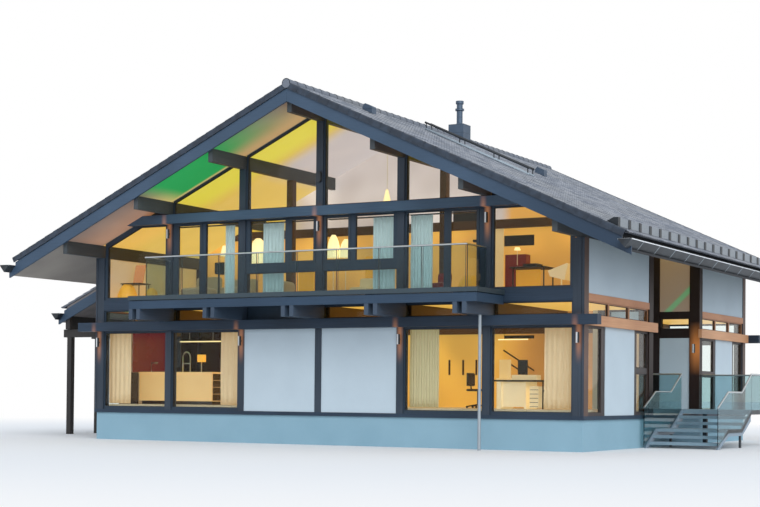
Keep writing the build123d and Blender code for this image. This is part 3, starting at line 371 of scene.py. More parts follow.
# Concrete roof tile: through-coloured grey with a matt cement skin, so it looks dusty and even,
# and each tile differs a little in tone. The 1 mm sand is drawn at 12 mm.
tile_concrete, tree, shader = new_finish("concrete_tile", Roughness=0.78)
place = add(tree, "ShaderNodeTexCoord").outputs["Object"]
tone = add(tree, "ShaderNodeAttribute", attribute_name="tone").outputs["Fac"]
sand = add(tree, "ShaderNodeTexNoise", {"Vector": place, "Scale": 80.0, "Detail": 2.0})
wear = add(tree, "ShaderNodeTexNoise", {"Vector": place, "Scale": 0.45, "Detail": 3.0})
skin = coated(
    tree, "#69707C",
    (tone, "#999DA5"),
    (zone(tree, (wear, 0.35, 0.75), full=0.35), "#94938F"),
    (zone(tree, (sand, 0.45, 0.75), full=0.25), "#565D68"))
bump = add(tree, "ShaderNodeBump", {"Height": sand, "Strength": 0.4, "Distance": 0.001})
set_inputs(shader, {"Base Color": skin, "Normal": bump})


def roof_of_tiles(name, courses, first_course, gauge, tile_count, side, node):
    """One slope of tiles: a grid of points down the slope, a tile on each, and the bed below."""
    tile = one_tile(gauge)
    tree = bpy.data.node_groups.new(name + "_laying", "GeometryNodeTree")
    for label, kind in (("Tile", "NodeSocketObject"), ("Courses", "NodeSocketInt"),
                        ("Tiles", "NodeSocketInt"), ("Gauge", "NodeSocketFloat"),
                        ("Cover", "NodeSocketFloat"), ("Start", "NodeSocketFloat"),
                        ("Finish", "NodeSocketMaterial")):
        tree.interface.new_socket(label, in_out="INPUT", socket_type=kind)
    tree.interface.new_socket("Tiles laid", in_out="OUTPUT", socket_type="NodeSocketGeometry")
    given = add(tree, "NodeGroupInput").outputs
    last_course = add(tree, "ShaderNodeMath", {0: given["Courses"], 1: 1.0}, operation="SUBTRACT")
    last_tile = add(tree, "ShaderNodeMath", {0: given["Tiles"], 1: 1.0}, operation="SUBTRACT")
    run = add(tree, "ShaderNodeMath", {0: last_course, 1: given["Gauge"]}, operation="MULTIPLY")
    width = add(tree, "ShaderNodeMath", {0: last_tile, 1: given["Cover"]}, operation="MULTIPLY")
    grid = add(tree, "GeometryNodeMeshGrid", {
        "Size X": run, "Size Y": width, "Vertices X": given["Courses"], "Vertices Y": given["Tiles"]})
    half_run = add(tree, "ShaderNodeMath", {0: run, 1: 0.5, 2: given["Start"]}, operation="MULTIPLY_ADD")
    half_cover = add(tree, "ShaderNodeMath", {0: given["Cover"], 1: -0.5}, operation="MULTIPLY")
    shift = add(tree, "ShaderNodeCombineXYZ", {"X": half_run, "Y": half_cover})
    placed = add(tree, "GeometryNodeTransform", {"Geometry": grid, "Translation": shift})
    points = add(tree, "GeometryNodeMeshToPoints", {"Mesh": placed})
    shape = add(tree, "GeometryNodeObjectInfo", {"Object": given["Tile"]})
    laid = add(tree, "GeometryNodeInstanceOnPoints", {
        "Points": points, "Instance": shape.outputs["Geometry"]})
    tone = add(tree, "FunctionNodeRandomValue", {"Seed": TONE_SEED + side}, data_type="FLOAT")
    toned = add(tree, "GeometryNodeStoreNamedAttribute", {
        "Geometry": laid, "Name": "tone", "Value": tone}, data_type="FLOAT", domain="INSTANCE")
    bed_length = add(tree, "ShaderNodeMath", {
        0: given["Courses"], 1: given["Gauge"]}, operation="MULTIPLY")
    bed_width = add(tree, "ShaderNodeMath", {0: given["Tiles"], 1: given["Cover"]}, operation="MULTIPLY")
    bed_size = add(tree, "ShaderNodeCombineXYZ", {"X": bed_length, "Y": bed_width, "Z": TILE_BED - BED_PLAY})
    bed = add(tree, "GeometryNodeMeshCube", {"Size": bed_size})
    bed_middle = add(tree, "ShaderNodeMath", {
        0: bed_length, 1: 0.5, 2: given["Start"]}, operation="MULTIPLY_ADD")
    bed_place = add(tree, "ShaderNodeCombineXYZ", {"X": bed_middle, "Z": TILE_BED / 2})
    bedded = add(tree, "GeometryNodeTransform", {"Geometry": bed, "Translation": bed_place})
    joined = add(tree, "GeometryNodeJoinGeometry", {"Geometry": toned})
    set_inputs(joined, {"Geometry": bedded})
    turned = add(tree, "GeometryNodeTransform", {
        "Geometry": joined, "Translation": (0, 0, RIDGE_LEVEL),
        "Rotation": (0, ROOF_PITCH, 0 if side > 0 else math.pi)})
    real = add(tree, "GeometryNodeRealizeInstances", {"Geometry": turned})
    finished = add(tree, "GeometryNodeSetMaterial", {"Geometry": real, "Material": given["Finish"]})
    add(tree, "NodeGroupOutput", {0: finished})
    piece = grown(name, tree, {
        "Tile": tile, "Courses": courses, "Tiles": tile_count, "Gauge": gauge, "Cover": TILE_COVER,
        "Start": first_course * COURSE_GAUGE, "Finish": tile_concrete})
    bpy.data.objects.remove(tile)
    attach(piece, "root")
    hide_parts(node)


def grown(name, tree, values):
    """The plain mesh that a Geometry Nodes tree makes from these values."""
    holder = mesh_object(name + "_holder", [], [])
    modifier = holder.modifiers.new("growth", "NODES")
    modifier.node_group = tree
    for socket in tree.interface.items_tree:
        if socket.in_out == "INPUT" and socket.name in values:
            modifier[socket.identifier] = values[socket.name]
    bpy.context.view_layer.update()
    depsgraph = bpy.context.evaluated_depsgraph_get()
    mesh = bpy.data.meshes.new_from_object(holder.evaluated_get(depsgraph))
    holder.modifiers.remove(modifier)
    bpy.data.objects.remove(holder)
    mesh.name = name
    piece = bpy.data.objects.new(name, mesh)
    bpy.context.scene.collection.objects.link(piece)
    return piece


TILES_ACROSS = 56
PORCH_TILES_ACROSS = 24
PORCH_COURSES = 8
PORCH_EAVES_OUT = 11.707
porch_gauge = (PORCH_EAVES_OUT / math.cos(ROOF_PITCH) - COURSE_COUNT * COURSE_GAUGE) / PORCH_COURSES
roof_of_tiles("laid_tiles_right", COURSE_COUNT, 0, COURSE_GAUGE, TILES_ACROSS, 1, "tiles_right")
roof_of_tiles("laid_tiles_left", COURSE_COUNT, 0, COURSE_GAUGE, TILES_ACROSS, -1, "tiles_left")
roof_of_tiles("laid_tiles_porch", PORCH_COURSES, COURSE_COUNT, porch_gauge, PORCH_TILES_ACROSS, -1,
              "porch_tiles")

# Verge tiles
# Dark angled tiles that cap the raking edge of the roof, one to each course, with a skirt over
# the verge board. Each laps the next, so the edge steps down the slope.

VERGE_PROFILE = [
    (0.0, -0.092), (0.0, 0.040), (0.010, 0.062), (0.034, 0.074), (0.074, 0.074),
    (0.110, 0.064), (0.110, 0.030), (0.020, 0.030), (0.020, -0.092),
]


def on_roof(side, along, across, up):
    """A point of the roof: along the slope from the ridge, across it, and up from its boards."""
    x = along * math.cos(ROOF_PITCH) + up * math.sin(ROOF_PITCH)
    z = RIDGE_LEVEL - along * math.sin(ROOF_PITCH) + up * math.cos(ROOF_PITCH)
    return Vector((side * x, across, z))


def prism(sections):
    """Vertices and faces of a closed bar through outlines that have the same number of points."""
    count = len(sections[0])
    verts = [point for section in sections for point in section]
    faces = [tuple(range(count))]
    for k in range(len(sections) - 1):
        a, b = k * count, (k + 1) * count
        faces += [(a + i, b + i, b + (i + 1) % count, a + (i + 1) % count) for i in range(count)]
    faces.append(tuple(reversed(range(len(verts) - count, len(verts)))))
    return verts, faces


def gathered(name, solids, material, smooth_shaded=False):
    """One object from many closed solids, with every face turned outwards."""
    verts, faces = [], []
    for more_verts, more_faces in solids:
        faces += [tuple(i + len(verts) for i in face) for face in more_faces]
        verts += more_verts
    piece = mesh_object(name, verts, faces, material, smooth_shaded)
    shape = bmesh.new()
    shape.from_mesh(piece.data)
    bmesh.ops.recalc_face_normals(shape, faces=shape.faces)
    shape.to_mesh(piece.data)
    shape.free()
    return piece


# Engobed verge tile: smooth slate blue with a dull sheen.
verge_clay, tree, shader = new_finish("slate_blue_verge_tile", Roughness=0.5)
place = add(tree, "ShaderNodeTexCoord").outputs["Object"]
mottle = add(tree, "ShaderNodeTexNoise", {"Vector": place, "Scale": 6.0, "Detail": 3.0})
bump = add(tree, "ShaderNodeBump", {"Height": mottle, "Strength": 0.2, "Distance": 0.002})
glaze = coated(tree, "#1D2836", (zone(tree, (mottle, 0.35, 0.7)), "#2B3848"))
set_inputs(shader, {"Base Color": glaze, "Normal": bump})

VERGE_FACE = 8.566
VERGE_LAP = 0.035
RIDGE_GAP = 0.004
HEAD_DROP = 0.003
HEAD_INSET = 0.006
FOOT_LIFT = 0.004
solids = []
for side in (-1, 1):
    for end in (-1, 1):
        for course in range(COURSE_COUNT):
            head = RIDGE_GAP + course * COURSE_GAUGE
            foot = min(head + COURSE_GAUGE + VERGE_LAP, COURSE_COUNT * COURSE_GAUGE)
            solids.append(prism([
                [on_roof(side, along, end * (VERGE_FACE - inset - y), up + lift) for y, up in VERGE_PROFILE]
                for along, lift, inset in ((head, -HEAD_DROP, HEAD_INSET), (foot, FOOT_LIFT, 0.0))]))
verge_caps = gathered("verge_caps", solids, verge_clay)
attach(verge_caps, "root")
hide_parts("verge_tiles")

# Ridge tiles
# Half-round caps over the ridge, each with a collar that laps the next, and a disc that closes
# each end of the row.

RIDGE_CAP_RADIUS = 0.125
RIDGE_CAP_LEVEL = 9.43
RIDGE_CAP_COUNT = 43
CAP_ANGLES = [math.radians(-14 + 208 * k / 12) for k in range(13)]
CAP_WALL = 0.016
COLLAR_PROUD = 0.003
COLLAR_WALL = 0.012
COLLAR_LENGTH = 0.045
DISC_ANGLES = [2 * math.pi * k / 24 for k in range(24)]
DISC_THICKNESS = 0.02
RIDGE_TONE = 0.1


def round_the_ridge(y, radius, angles):
    """Points on a circle round the line of the ridge caps."""
    return [Vector((radius * math.cos(a), y, RIDGE_CAP_LEVEL + radius * math.sin(a))) for a in angles]


def half_round(y, radius, wall):
    """The outline of a half-round cap, outside and back along its inside."""
    return round_the_ridge(y, radius, CAP_ANGLES) + round_the_ridge(y, radius - wall, CAP_ANGLES[::-1])


cap_length = 2 * VERGE_FACE / RIDGE_CAP_COUNT
collar_radius = RIDGE_CAP_RADIUS + COLLAR_PROUD
solids = []
for k in range(RIDGE_CAP_COUNT):
    y = -VERGE_FACE + k * cap_length
    solids.append(prism([
        half_round(y, RIDGE_CAP_RADIUS, CAP_WALL),
        half_round(y + cap_length - 0.05, RIDGE_CAP_RADIUS - 0.008, CAP_WALL),
        half_round(y + cap_length, RIDGE_CAP_RADIUS - 0.010, CAP_WALL)]))
    solids.append(prism([
        half_round(step, collar_radius, COLLAR_WALL) for step in (y, y + COLLAR_LENGTH)]))
for y in (-VERGE_FACE, VERGE_FACE - DISC_THICKNESS):
    solids.append(prism([
        round_the_ridge(step, RIDGE_CAP_RADIUS, DISC_ANGLES) for step in (y, y + DISC_THICKNESS)]))
ridge_caps = gathered("ridge_caps", solids, tile_concrete)
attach(ridge_caps, "root")
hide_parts("ridge_tiles")
tone = ridge_caps.data.attributes.new("tone", "FLOAT", "POINT")
tone.data.foreach_set("value", [RIDGE_TONE] * len(ridge_caps.data.vertices))

# Verge boards
# Deep planed boards that close the raking edges of the roof, in the slate-blue stain. Painted shade makes it
# darker towards the foot of the right-hand slope.
raking_timber = stained_timber("slate_timber_raking", "#43576D", "#35475A", "X", roughness=0.45)
tree, shader, stain, place = reopened(raking_timber)
x = add(tree, "ShaderNodeSeparateXYZ", {"Vector": place}).outputs["X"]
set_inputs(shader, {"Base Color": coated(tree, stain, (zone(tree, (x, 4.5, 8.5)), "#2A3B4E"))})
dress(raking_timber, "verge_boards")

# Gutters
# Folded V-shaped troughs of dark coated zinc, with a rolled bead along the outer edge and flat
# steel straps outside.

# Coated zinc sheet: dark, with a dull sheen and faint patches.
zinc_dark = mottled(
    "dark_coated_zinc", "#23272C", "#343A40", 3.0, detail=4.0, patchy=True, Metallic=0.25,
    Roughness=0.45)
dress(zinc_dark, "gutters")

# Brushed stainless steel: bright, with a fine brushing that only blurs its highlights.
brushed_steel, tree, shader = new_finish("brushed_steel", Metallic=1.0)
place = add(tree, "ShaderNodeTexCoord").outputs["Object"]
brushing = add(tree, "ShaderNodeTexNoise", {"Vector": place, "Scale": 40.0, "Detail": 2.0})
worn = add(tree, "ShaderNodeMapRange", {"Value": brushing, "To Min": 0.24, "To Max": 0.38})
set_inputs(shader, {"Base Color": coated(tree, "#B4BBC0", (brushing, "#D2D7DA")), "Roughness": worn})
dress(brushed_steel, "balcony_handrail", "stair_handrails")


def tube(points, radius, sides=10):
    """A closed round bar along points in a straight line or with mitred corners."""
    sections = []
    for k, point in enumerate(points):
        point = Vector(point)
        before = (point - Vector(points[k - 1])).normalized() if k else None
        after = (Vector(points[k + 1]) - point).normalized() if k + 1 < len(points) else None
        run = ((before or after) + (after or before)).normalized()
        stretch = 1 / max(0.5, run.dot(before or after))
        other = Vector((0, 0, 1)) if abs(run.z) < 0.95 else Vector((1, 0, 0))
        flat = run.cross(other).normalized()
        rise = flat.cross(run).normalized()
        bend = (after or before) - (before or after)
        section = []
        for i in range(sides):
            angle = 2 * math.pi * i / sides
            offset = flat * math.cos(angle) * radius + rise * math.sin(angle) * radius
            if bend.length > 1e-6:
                along = bend.normalized()
                offset += along * offset.dot(along) * (stretch - 1)
            section.append(point + offset)
        sections.append(section)
    return prism(sections)


# The rolled bead that stiffens both edges of each trough, painted bright as the highlight along it.
GUTTER_BEAD = 0.013
# Each run: its outer and inner edges, its top, and where it starts and stops.
GUTTER_RUNS = [
    (9.583, 9.233, 4.9876, -8.806, 8.806), (-9.583, -9.233, 4.9876, -8.806, -3.635),
    (-9.583, -9.233, 4.9876, 3.635, 8.806), (-11.990, -11.640, 3.8881, -3.855, 3.855),
]
solids = []
for outer, inner, top, start, stop in GUTTER_RUNS:
    level = top - GUTTER_BEAD / 2
    edge = outer - math.copysign(GUTTER_BEAD, outer)
    solids.append(tube([(edge, start + GUTTER_BEAD, level), (edge, stop - GUTTER_BEAD, level)], GUTTER_BEAD))
    for y in (start + GUTTER_BEAD, stop - GUTTER_BEAD):
        solids.append(tube([(edge, y, level), (inner, y, level)], GUTTER_BEAD * 0.8))
bead_highlight = mottled("rolled_zinc_painted_highlight", "#D5DADE", "#F0F3F5", 6.0, Metallic=0.2, Roughness=0.4)
gutter_beads = gathered("gutter_beads", solids, bead_highlight, smooth_shaded=True)
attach(gutter_beads, "root")

# Snow guards
# Galvanised sheet panels between folded dark brackets, fixed to the battens one course above the
# gutter. The sheet is pale, with a fine spangle.

BRACKET_PITCH = 0.72
guard_sheet, tree, shader = new_finish("galvanised_guard_sheet", Metallic=0.5, Roughness=0.42)
place = add(tree, "ShaderNodeTexCoord").outputs["Object"]
y = add(tree, "ShaderNodeSeparateXYZ", {"Vector": place}).outputs["Y"]
shifted = add(tree, "ShaderNodeMath", {0: y, 1: BRACKET_PITCH / 2}, operation="ADD")
to_bracket = add(tree, "ShaderNodeMath", {0: shifted, 1: BRACKET_PITCH / 2}, operation="PINGPONG")
spangle = add(tree, "ShaderNodeTexVoronoi", {"Vector": place, "Scale": 45.0})
zinc = coated(
    tree, "#949CA4", (spangle, "#7B848C"), (zone(tree, (to_bracket, 0.079, 0.076)), "#272D33"))
set_inputs(shader, {"Base Color": zinc})
dress(guard_sheet, "snow_guards")

# Chimney, vents and roof walk
# A chimney clad in coated sheet with a steel flue, and two vent cowls. Two raised galvanised
# rails on stays run up to the chimney, over pale foot rails that lie on the tiles.

# Coated sheet: smooth and blue-grey, in courses with a dark seam between them.
SHEET_COURSE = 0.26
chimney_sheet, tree, shader = new_finish("coated_chimney_sheet", Metallic=0.4, Roughness=0.5)
place = add(tree, "ShaderNodeTexCoord").outputs["Object"]
z = add(tree, "ShaderNodeSeparateXYZ", {"Vector": place}).outputs["Z"]
seam = add(tree, "ShaderNodeMath", {0: z, 1: SHEET_COURSE / 2}, operation="PINGPONG")
film = add(tree, "ShaderNodeTexNoise", {"Vector": place, "Scale": 5.0, "Detail": 3.0})
cladding = coated(tree, "#3E4E61", (film, "#56677A"), (zone(tree, (seam, 0.006, 0.002)), "#2A3542"))
set_inputs(shader, {"Base Color": cladding})
dress(chimney_sheet, "chimney_block", "chimney_flue", "roof_vents")


def galvanised(name, hex_light, hex_dark):
    """Hot-dip galvanised steel: a dull skin, with its spangle drawn about 17 mm wide."""
    material, tree, shader = new_finish(name, Metallic=0.1, Roughness=0.6)
    place = add(tree, "ShaderNodeTexCoord").outputs["Object"]
    spangle = add(tree, "ShaderNodeTexVoronoi", {"Vector": place, "Scale": 60.0})
    set_inputs(shader, {"Base Color": coated(tree, hex_light, (spangle, hex_dark))})
    return material


ladder_steel = galvanised("dark_galvanised_steel", "#2B3138", "#1F252B")
foot_steel = galvanised("galvanised_foot_rail", "#A9B6BF", "#95A2AC")
dress(ladder_steel, "roof_ladder")

# The raised rails stand on four pairs of stays, and are tied across above each pair.
RAIL_RADIUS = 0.03
RAIL_HEIGHT = 0.24
STAY_RADIUS = 0.016
STAY_INSET = 0.012
STAY_PLACES = (0.012, 0.34, 0.67, 0.988)
low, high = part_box("roof_ladder")
rail_lift = RAIL_HEIGHT - RAIL_RADIUS
foot = Vector((low[0] + RAIL_RADIUS, 0, high[2] - RAIL_HEIGHT))
run = Vector((high[0] - RAIL_RADIUS, 0, low[2])) - foot
near_rail, far_rail = low[1] + RAIL_RADIUS, high[1] - RAIL_RADIUS
stations = [foot + run * share for share in STAY_PLACES]
solids = []
for y in (near_rail, far_rail):
    solids.append(tube([(p.x, y, p.z + rail_lift) for p in (foot, foot + run)], RAIL_RADIUS))
    for p in stations:
        solids.append(tube([(p.x, y, p.z), (p.x, y, p.z + rail_lift - STAY_INSET)], STAY_RADIUS))
for p in stations:
    ends = (near_rail + STAY_INSET, far_rail - STAY_INSET)
    solids.append(tube([(p.x, y, p.z + rail_lift) for y in ends], STAY_RADIUS))
rails = gathered("roof_walk_rails", solids, ladder_steel, smooth_shaded=True)
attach(rails, "root")
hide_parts("roof_ladder")
solids = [tube([(p.x, y, p.z + RAIL_RADIUS) for p in (foot, foot + run)], RAIL_RADIUS)
          for y in (near_rail, far_rail)]
feet = gathered("roof_walk_feet", solids, foot_steel, smooth_shaded=True)
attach(feet, "root")

# Porch frame
# Plain square spruce posts and short beams that carry the lower roof at the side of the house.
# Their stain is painted darker than that of the gable, as shade.
porch_timber = stained_timber("dark_porch_timber", "#3A3736", "#292726", "Z")
dress(porch_timber, "porch_frame")

# Floors
# The ground floor is laid in pale stone tiles, and the upper floor in oak boards. The underside
# of the upper floor is the plastered ceiling of the rooms below.

# Oiled oak boards 180 mm wide: warm brown, with thin dark joints and a faint painted glow of warm room
# light. Below them is matt plaster, with the yellow light of the rooms painted on as a glow, green towards
# the left end.
floor_finish, tree, shader = new_finish("oak_floor_and_ceiling", Roughness=0.4, Emission_Strength=0.75)
place = add(tree, "ShaderNodeTexCoord").outputs["Object"]
x = add(tree, "ShaderNodeSeparateXYZ", {"Vector": place}).outputs["X"]
normal = add(tree, "ShaderNodeNewGeometry").outputs["Normal"]
facing = add(tree, "ShaderNodeSeparateXYZ", {"Vector": normal}).outputs["Z"]
planks = add(tree, "ShaderNodeTexBrick", {
    "Vector": place, "Color1": "#9A7448", "Color2": "#A98355", "Mortar": "#5E4427", "Scale": 1.0,
    "Mortar Size": 0.003, "Brick Width": 1.8, "Row Height": 0.18})
below = zone(tree, (facing, -0.4, -0.6))
lit = coated(tree, "#E6B24C", (zone(tree, (x, -4.7, -5.5)), "#4C9A44"))
set_inputs(shader, {
    "Base Color": coated(tree, planks, (below, "#D8C9A0")),
    "Emission Color": coated(tree, "#4A3214", (below, lit))})
dress(floor_finish, "upper_floor")

# Honed stone tiles 600 mm square: pale and matt, with slightly darker joints, and a faint painted glow of
# room light in their own colour.
stone_floor, tree, shader = new_finish("stone_floor_tiles", Roughness=0.35, Emission_Strength=0.25)
place = add(tree, "ShaderNodeTexCoord").outputs["Object"]
slabs = add(tree, "ShaderNodeTexBrick", {
    "Vector": place, "Color1": "#B9A98C", "Color2": "#C4B497", "Mortar": "#8D7F68", "Scale": 1.0,
    "Mortar Size": 0.004, "Brick Width": 0.6, "Row Height": 0.6})
set_inputs(shader, {"Base Color": slabs, "Emission Color": slabs})
dress(stone_floor, "ground_floor")

# Windows
# Fixed panes and side-hung lights in slate-blue timber frames, each pane held by a black rubber
# gasket. The opening lights have a sash of their own, proud of the frame.

# Opaque satin stain: an even dark slate in front, and brown on the long sides, where the warm evening light
# is painted in, copper above 3.13 m.
dress(stained_timber("window_frame_timber", "#334353", "#25313E", "Z", roughness=0.42),
      "front_frames", "rear_frames")
side_frame_timber = stained_timber("side_frame_timber", "#4E423F", "#332C2D", "Z", roughness=0.42)
tree, shader, stain, place = reopened(side_frame_timber)
z = add(tree, "ShaderNodeSeparateXYZ", {"Vector": place}).outputs["Z"]
set_inputs(shader, {"Base Color": coated(tree, stain, (zone(tree, (z, 3.12, 3.14)), "#A87A5A"))})
dress(side_frame_timber, "side_frames")

# Clear coated insulating glass: almost colourless, and it mirrors little.
clear_glass, _, _ = new_finish(
    "clear_window_glass", Roughness=0.0, IOR=1.2, Transmission_Weight=1.0, Base_Color="#F4FAF8")
dress(clear_glass, "front_glass", "rear_glass", "side_glass")


def panes(node):
    """The panes of a glass node, each as its flat axis, its two faces and its outline."""
    shape = bmesh.new()
    shape.from_mesh(nodes[node].data)
    bmesh.ops.remove_doubles(shape, verts=shape.verts, dist=0.0001)
    found, seen = [], set()
    for vert in shape.verts:
        if vert.index in seen:
            continue
        island, waiting = [], [vert]
        seen.add(vert.index)
        while waiting:
            at = waiting.pop()
            island.append(at.co.copy())
            for edge in at.link_edges:
                other = edge.other_vert(at)
                if other.index not in seen:
                    seen.add(other.index)
                    waiting.append(other)
        low = [min(p[i] for p in island) for i in range(3)]
        high = [max(p[i] for p in island) for i in range(3)]
        flat = 1 if high[1] - low[1] < high[0] - low[0] else 0
        points = [(p[1 - flat], p.z) for p in island if abs(p[flat] - low[flat]) < 0.001]
        middle = [sum(q[i] for q in points) / len(points) for i in (0, 1)]
        points.sort(key=lambda q: math.atan2(q[1] - middle[1], q[0] - middle[0]))
        found.append((flat, low[flat], high[flat], points))
    shape.free()
    return found


def drawn_in(points, width):
    """A convex outline with every side moved inwards by a width."""
    moved = []
    count = len(points)
    for k in range(count):
        corner = []
        for a, b in ((points[k - 1], points[k]), (points[k], points[(k + 1) % count])):
            run = Vector((b[0] - a[0], b[1] - a[1])).normalized()
            inward = Vector((-run.y, run.x))
            corner.append((Vector(a) + inward * width, run))
        (p, r), (q, t) = corner
        cross = r.x * t.y - r.y * t.x
        if abs(cross) < 1e-5:
            moved.append(tuple(q))
            continue
        share = ((q.x - p.x) * t.y - (q.y - p.y) * t.x) / cross
        moved.append((p.x + r.x * share, p.y + r.y * share))
    return moved


def ring(flat, near, far, points, width):
    """A closed frame of this width along an outline, between two planes."""
    inner = drawn_in(points, width)
    count = len(points)

    def corner(q, at):
        return Vector((q[0], at, q[1])) if flat == 1 else Vector((at, q[0], q[1]))

    verts = [corner(q, at) for at in (near, far) for q in list(points) + inner]
    faces = []
    for i in range(count):
        j = (i + 1) % count
        a, b, c, d = i, j, count + j, count + i
        e, f, g, h = (v + 2 * count for v in (a, b, c, d))
        faces += [(a, b, c, d), (h, g, f, e), (a, e, f, b), (d, c, g, h)]
    return verts, faces


# Black rubber gasket: a dull line round every pane.
gasket_rubber = mottled("black_rubber_gasket", "#141618", "#23262A", 20.0, Roughness=0.7)
GASKET_WIDTH = 0.014
GASKET_PROUD = 0.008
for wall in ("front", "rear", "side"):
    solids = [ring(flat, near - GASKET_PROUD, far + GASKET_PROUD, points, GASKET_WIDTH)
              for flat, near, far, points in panes(wall + "_glass")]
    gaskets = gathered(wall + "_gaskets", solids, gasket_rubber)
    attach(gaskets, "root")

# The opening lights: doors beside lines B and F, and casements beside the ridge post.
SASH_WIDTH = 0.075
SASH_OVERLAP = 0.035
SASH_PROUD = 0.014
FRAME_FACE = 6.815
LIGHT_WIDTH = 0.85
LIGHT_LEVELS = (4.0, 6.2)
sash_timber = stained_timber("sash_timber", "#34424F", "#26313C", "Z", roughness=0.4)
for wall, sign in (("front", -1), ("rear", 1)):
    solids = []
    for flat, near, far, points in panes(wall + "_glass"):
        across = [q[0] for q in points]
        levels = [q[1] for q in points]
        opens = max(across) - min(across) < LIGHT_WIDTH
        if not opens or min(levels) <= LIGHT_LEVELS[0] or max(levels) >= LIGHT_LEVELS[1]:
            continue
        faces = sorted((sign * (FRAME_FACE + SASH_PROUD), sign * (FRAME_FACE - 0.02)))
        solids.append(ring(1, *faces, drawn_in(points, -SASH_OVERLAP), SASH_WIDTH))
    sashes = gathered(wall + "_sashes", solids, sash_timber)
    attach(sashes, "root")

# Wall panels
# White mineral render on insulated panels, on the gables, the long sides and in the entrance recess. It is
# smooth and matt, and its white is painted pale blue, as the blue evening light on it.
WHITE_RENDER_IN_BLUE_LIGHT = ("#C4D3DC", "#B8C7D1", 7, 0.8)
dress(render_coat("white_mineral_render", *WHITE_RENDER_IN_BLUE_LIGHT), "recess_back_wall")

# Entrance door: a flat door in the slate stain.
dress(stained_timber("door_timber", "#3F4C5B", "#2D3845", "Z", roughness=0.38), "entrance_door")

# Rooms
# The lit rooms behind the glass. Their back walls are smooth plaster, and the lamps inside make
# them glow a warm yellow, strongest under the ceiling.


def room_light(tree, place):
    """The colour of the light on a room's plaster, by its place in the house."""
    x, _, z = add(tree, "ShaderNodeSeparateXYZ", {"Vector": place}).outputs
    pools = add(tree, "ShaderNodeTexNoise", {"Vector": place, "Scale": 0.5, "Detail": 1.0})
    ground_floor = coated(
        tree, "#D7A038",
        (zone(tree, (z, 1.0, 3.4)), "#EFC052"),
        (zone(tree, (x, 2.4, 4.2)), "#B47A30"),
        (zone(tree, (x, -4.5, -6.5)), "#7A4A22"))
    upper_floor = coated(tree, "#E2A046", (zone(tree, (z, 4.0, 6.2)), "#F7B84E"))
    gable = coated(
        tree, "#EACB48", (zone(tree, (x, -4.6, -3.4)), "#D5CBCB"), (zone(tree, (x, 3.1, 3.5)), "#EDAE50"))
    upstairs = coated(tree, upper_floor, (zone(tree, (z, 6.2, 6.4)), gable))
    lit = coated(tree, ground_floor, (zone(tree, (z, 3.9, 4.1)), upstairs))
    shade = coated(tree, lit, (0.5, "#5A3A18"))
    return coated(tree, lit, (zone(tree, (pools, 0.75, 0.3)), shade))


# Smooth gypsum plaster: matt and cream, with the room's light painted into its colour and as a glow.
room_plaster, tree, shader = new_finish("lit_room_plaster", Roughness=0.8, Emission_Strength=0.8)
lit = room_light(tree, add(tree, "ShaderNodeTexCoord").outputs["Object"])
set_inputs(shader, {"Base Color": coated(tree, lit, (0.25, "#D9CFBA")), "Emission Color": lit})
dress(room_plaster, "inner_walls")

# The wall panels are rendered outside and plastered inside, where the room's light is painted on them as a
# glow. High up on the long sides the render is painted darker, as the shade under the eaves.
WALL_LIGHT = 0.6
panel_coat = render_coat("render_and_plaster", *WHITE_RENDER_IN_BLUE_LIGHT)
tree, shader, clean, place = reopened(panel_coat)
x, y, z = add(tree, "ShaderNodeSeparateXYZ", {"Vector": place}).outputs
out = add(tree, "ShaderNodeMath", {0: x}, operation="ABSOLUTE")
depth = add(tree, "ShaderNodeMath", {0: y}, operation="ABSOLUTE")
indoors = zone(tree, (out, 7.48, 7.47), (depth, 6.68, 6.67))
eaves_shade = zone(tree, (out, 7.55, 7.57), (z, 4.2, 5.7), full=0.6)
set_inputs(shader, {
    "Base Color": coated(tree, clean, (eaves_shade, "#5F6D70")),
    "Emission Color": coated(tree, "#000000", (indoors, room_light(tree, place))),
    "Emission Strength": WALL_LIGHT})
dress(panel_coat, "gable_panels", "side_panels")

# The walls beside the entrance are rendered on the outside, where warm light and a slanting streak of green
# light are painted on the upper one, in its colour and as a glow, and plastered inside, where the room's
# light is painted on as a glow.
STREAK_SLOPE = 0.954
STREAK_LEVEL = 2.44
flank_coat = render_coat("flank_render_and_plaster", *WHITE_RENDER_IN_BLUE_LIGHT)
tree, shader, clean, place = reopened(flank_coat)
x, y, z = add(tree, "ShaderNodeSeparateXYZ", {"Vector": place}).outputs
flank_low, flank_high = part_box("recess_flank_walls")
indoors = add(tree, "ShaderNodeMath", {
    0: zone(tree, (y, flank_low[1] + 0.003, flank_low[1] + 0.002)),
    1: zone(tree, (y, flank_high[1] - 0.003, flank_high[1] - 0.002))}, operation="MAXIMUM")
slope = add(tree, "ShaderNodeMath", {0: x, 1: -STREAK_SLOPE, 2: z}, operation="MULTIPLY_ADD")
off = add(tree, "ShaderNodeMath", {0: slope, 1: STREAK_LEVEL}, operation="ADD")
away = add(tree, "ShaderNodeMath", {0: off}, operation="ABSOLUTE")
streak = zone(tree, (away, 0.16, 0.05), (z, 5.3, 4.9))
upper = zone(tree, (z, 3.88, 3.9), (y, 0.0, 0.1))
warmed = add(tree, "ShaderNodeMath", {0: upper, 1: 0.7}, operation="MULTIPLY")
evening_light = coated(tree, "#6E5030", (streak, "#1F8F4A"))
set_inputs(shader, {
    "Base Color": coated(tree, clean, (warmed, "#847258")),
    "Emission Color": coated(
        tree, "#000000", (upper, evening_light), (indoors, room_light(tree, place))),
    "Emission Strength": WALL_LIGHT})
dress(flank_coat, "recess_flank_walls")

# Curtains
# Floor-length curtains of plain undyed cloth, drawn to the sides of the windows. Each hangs in
# even folds from a slim board fixed between the posts.


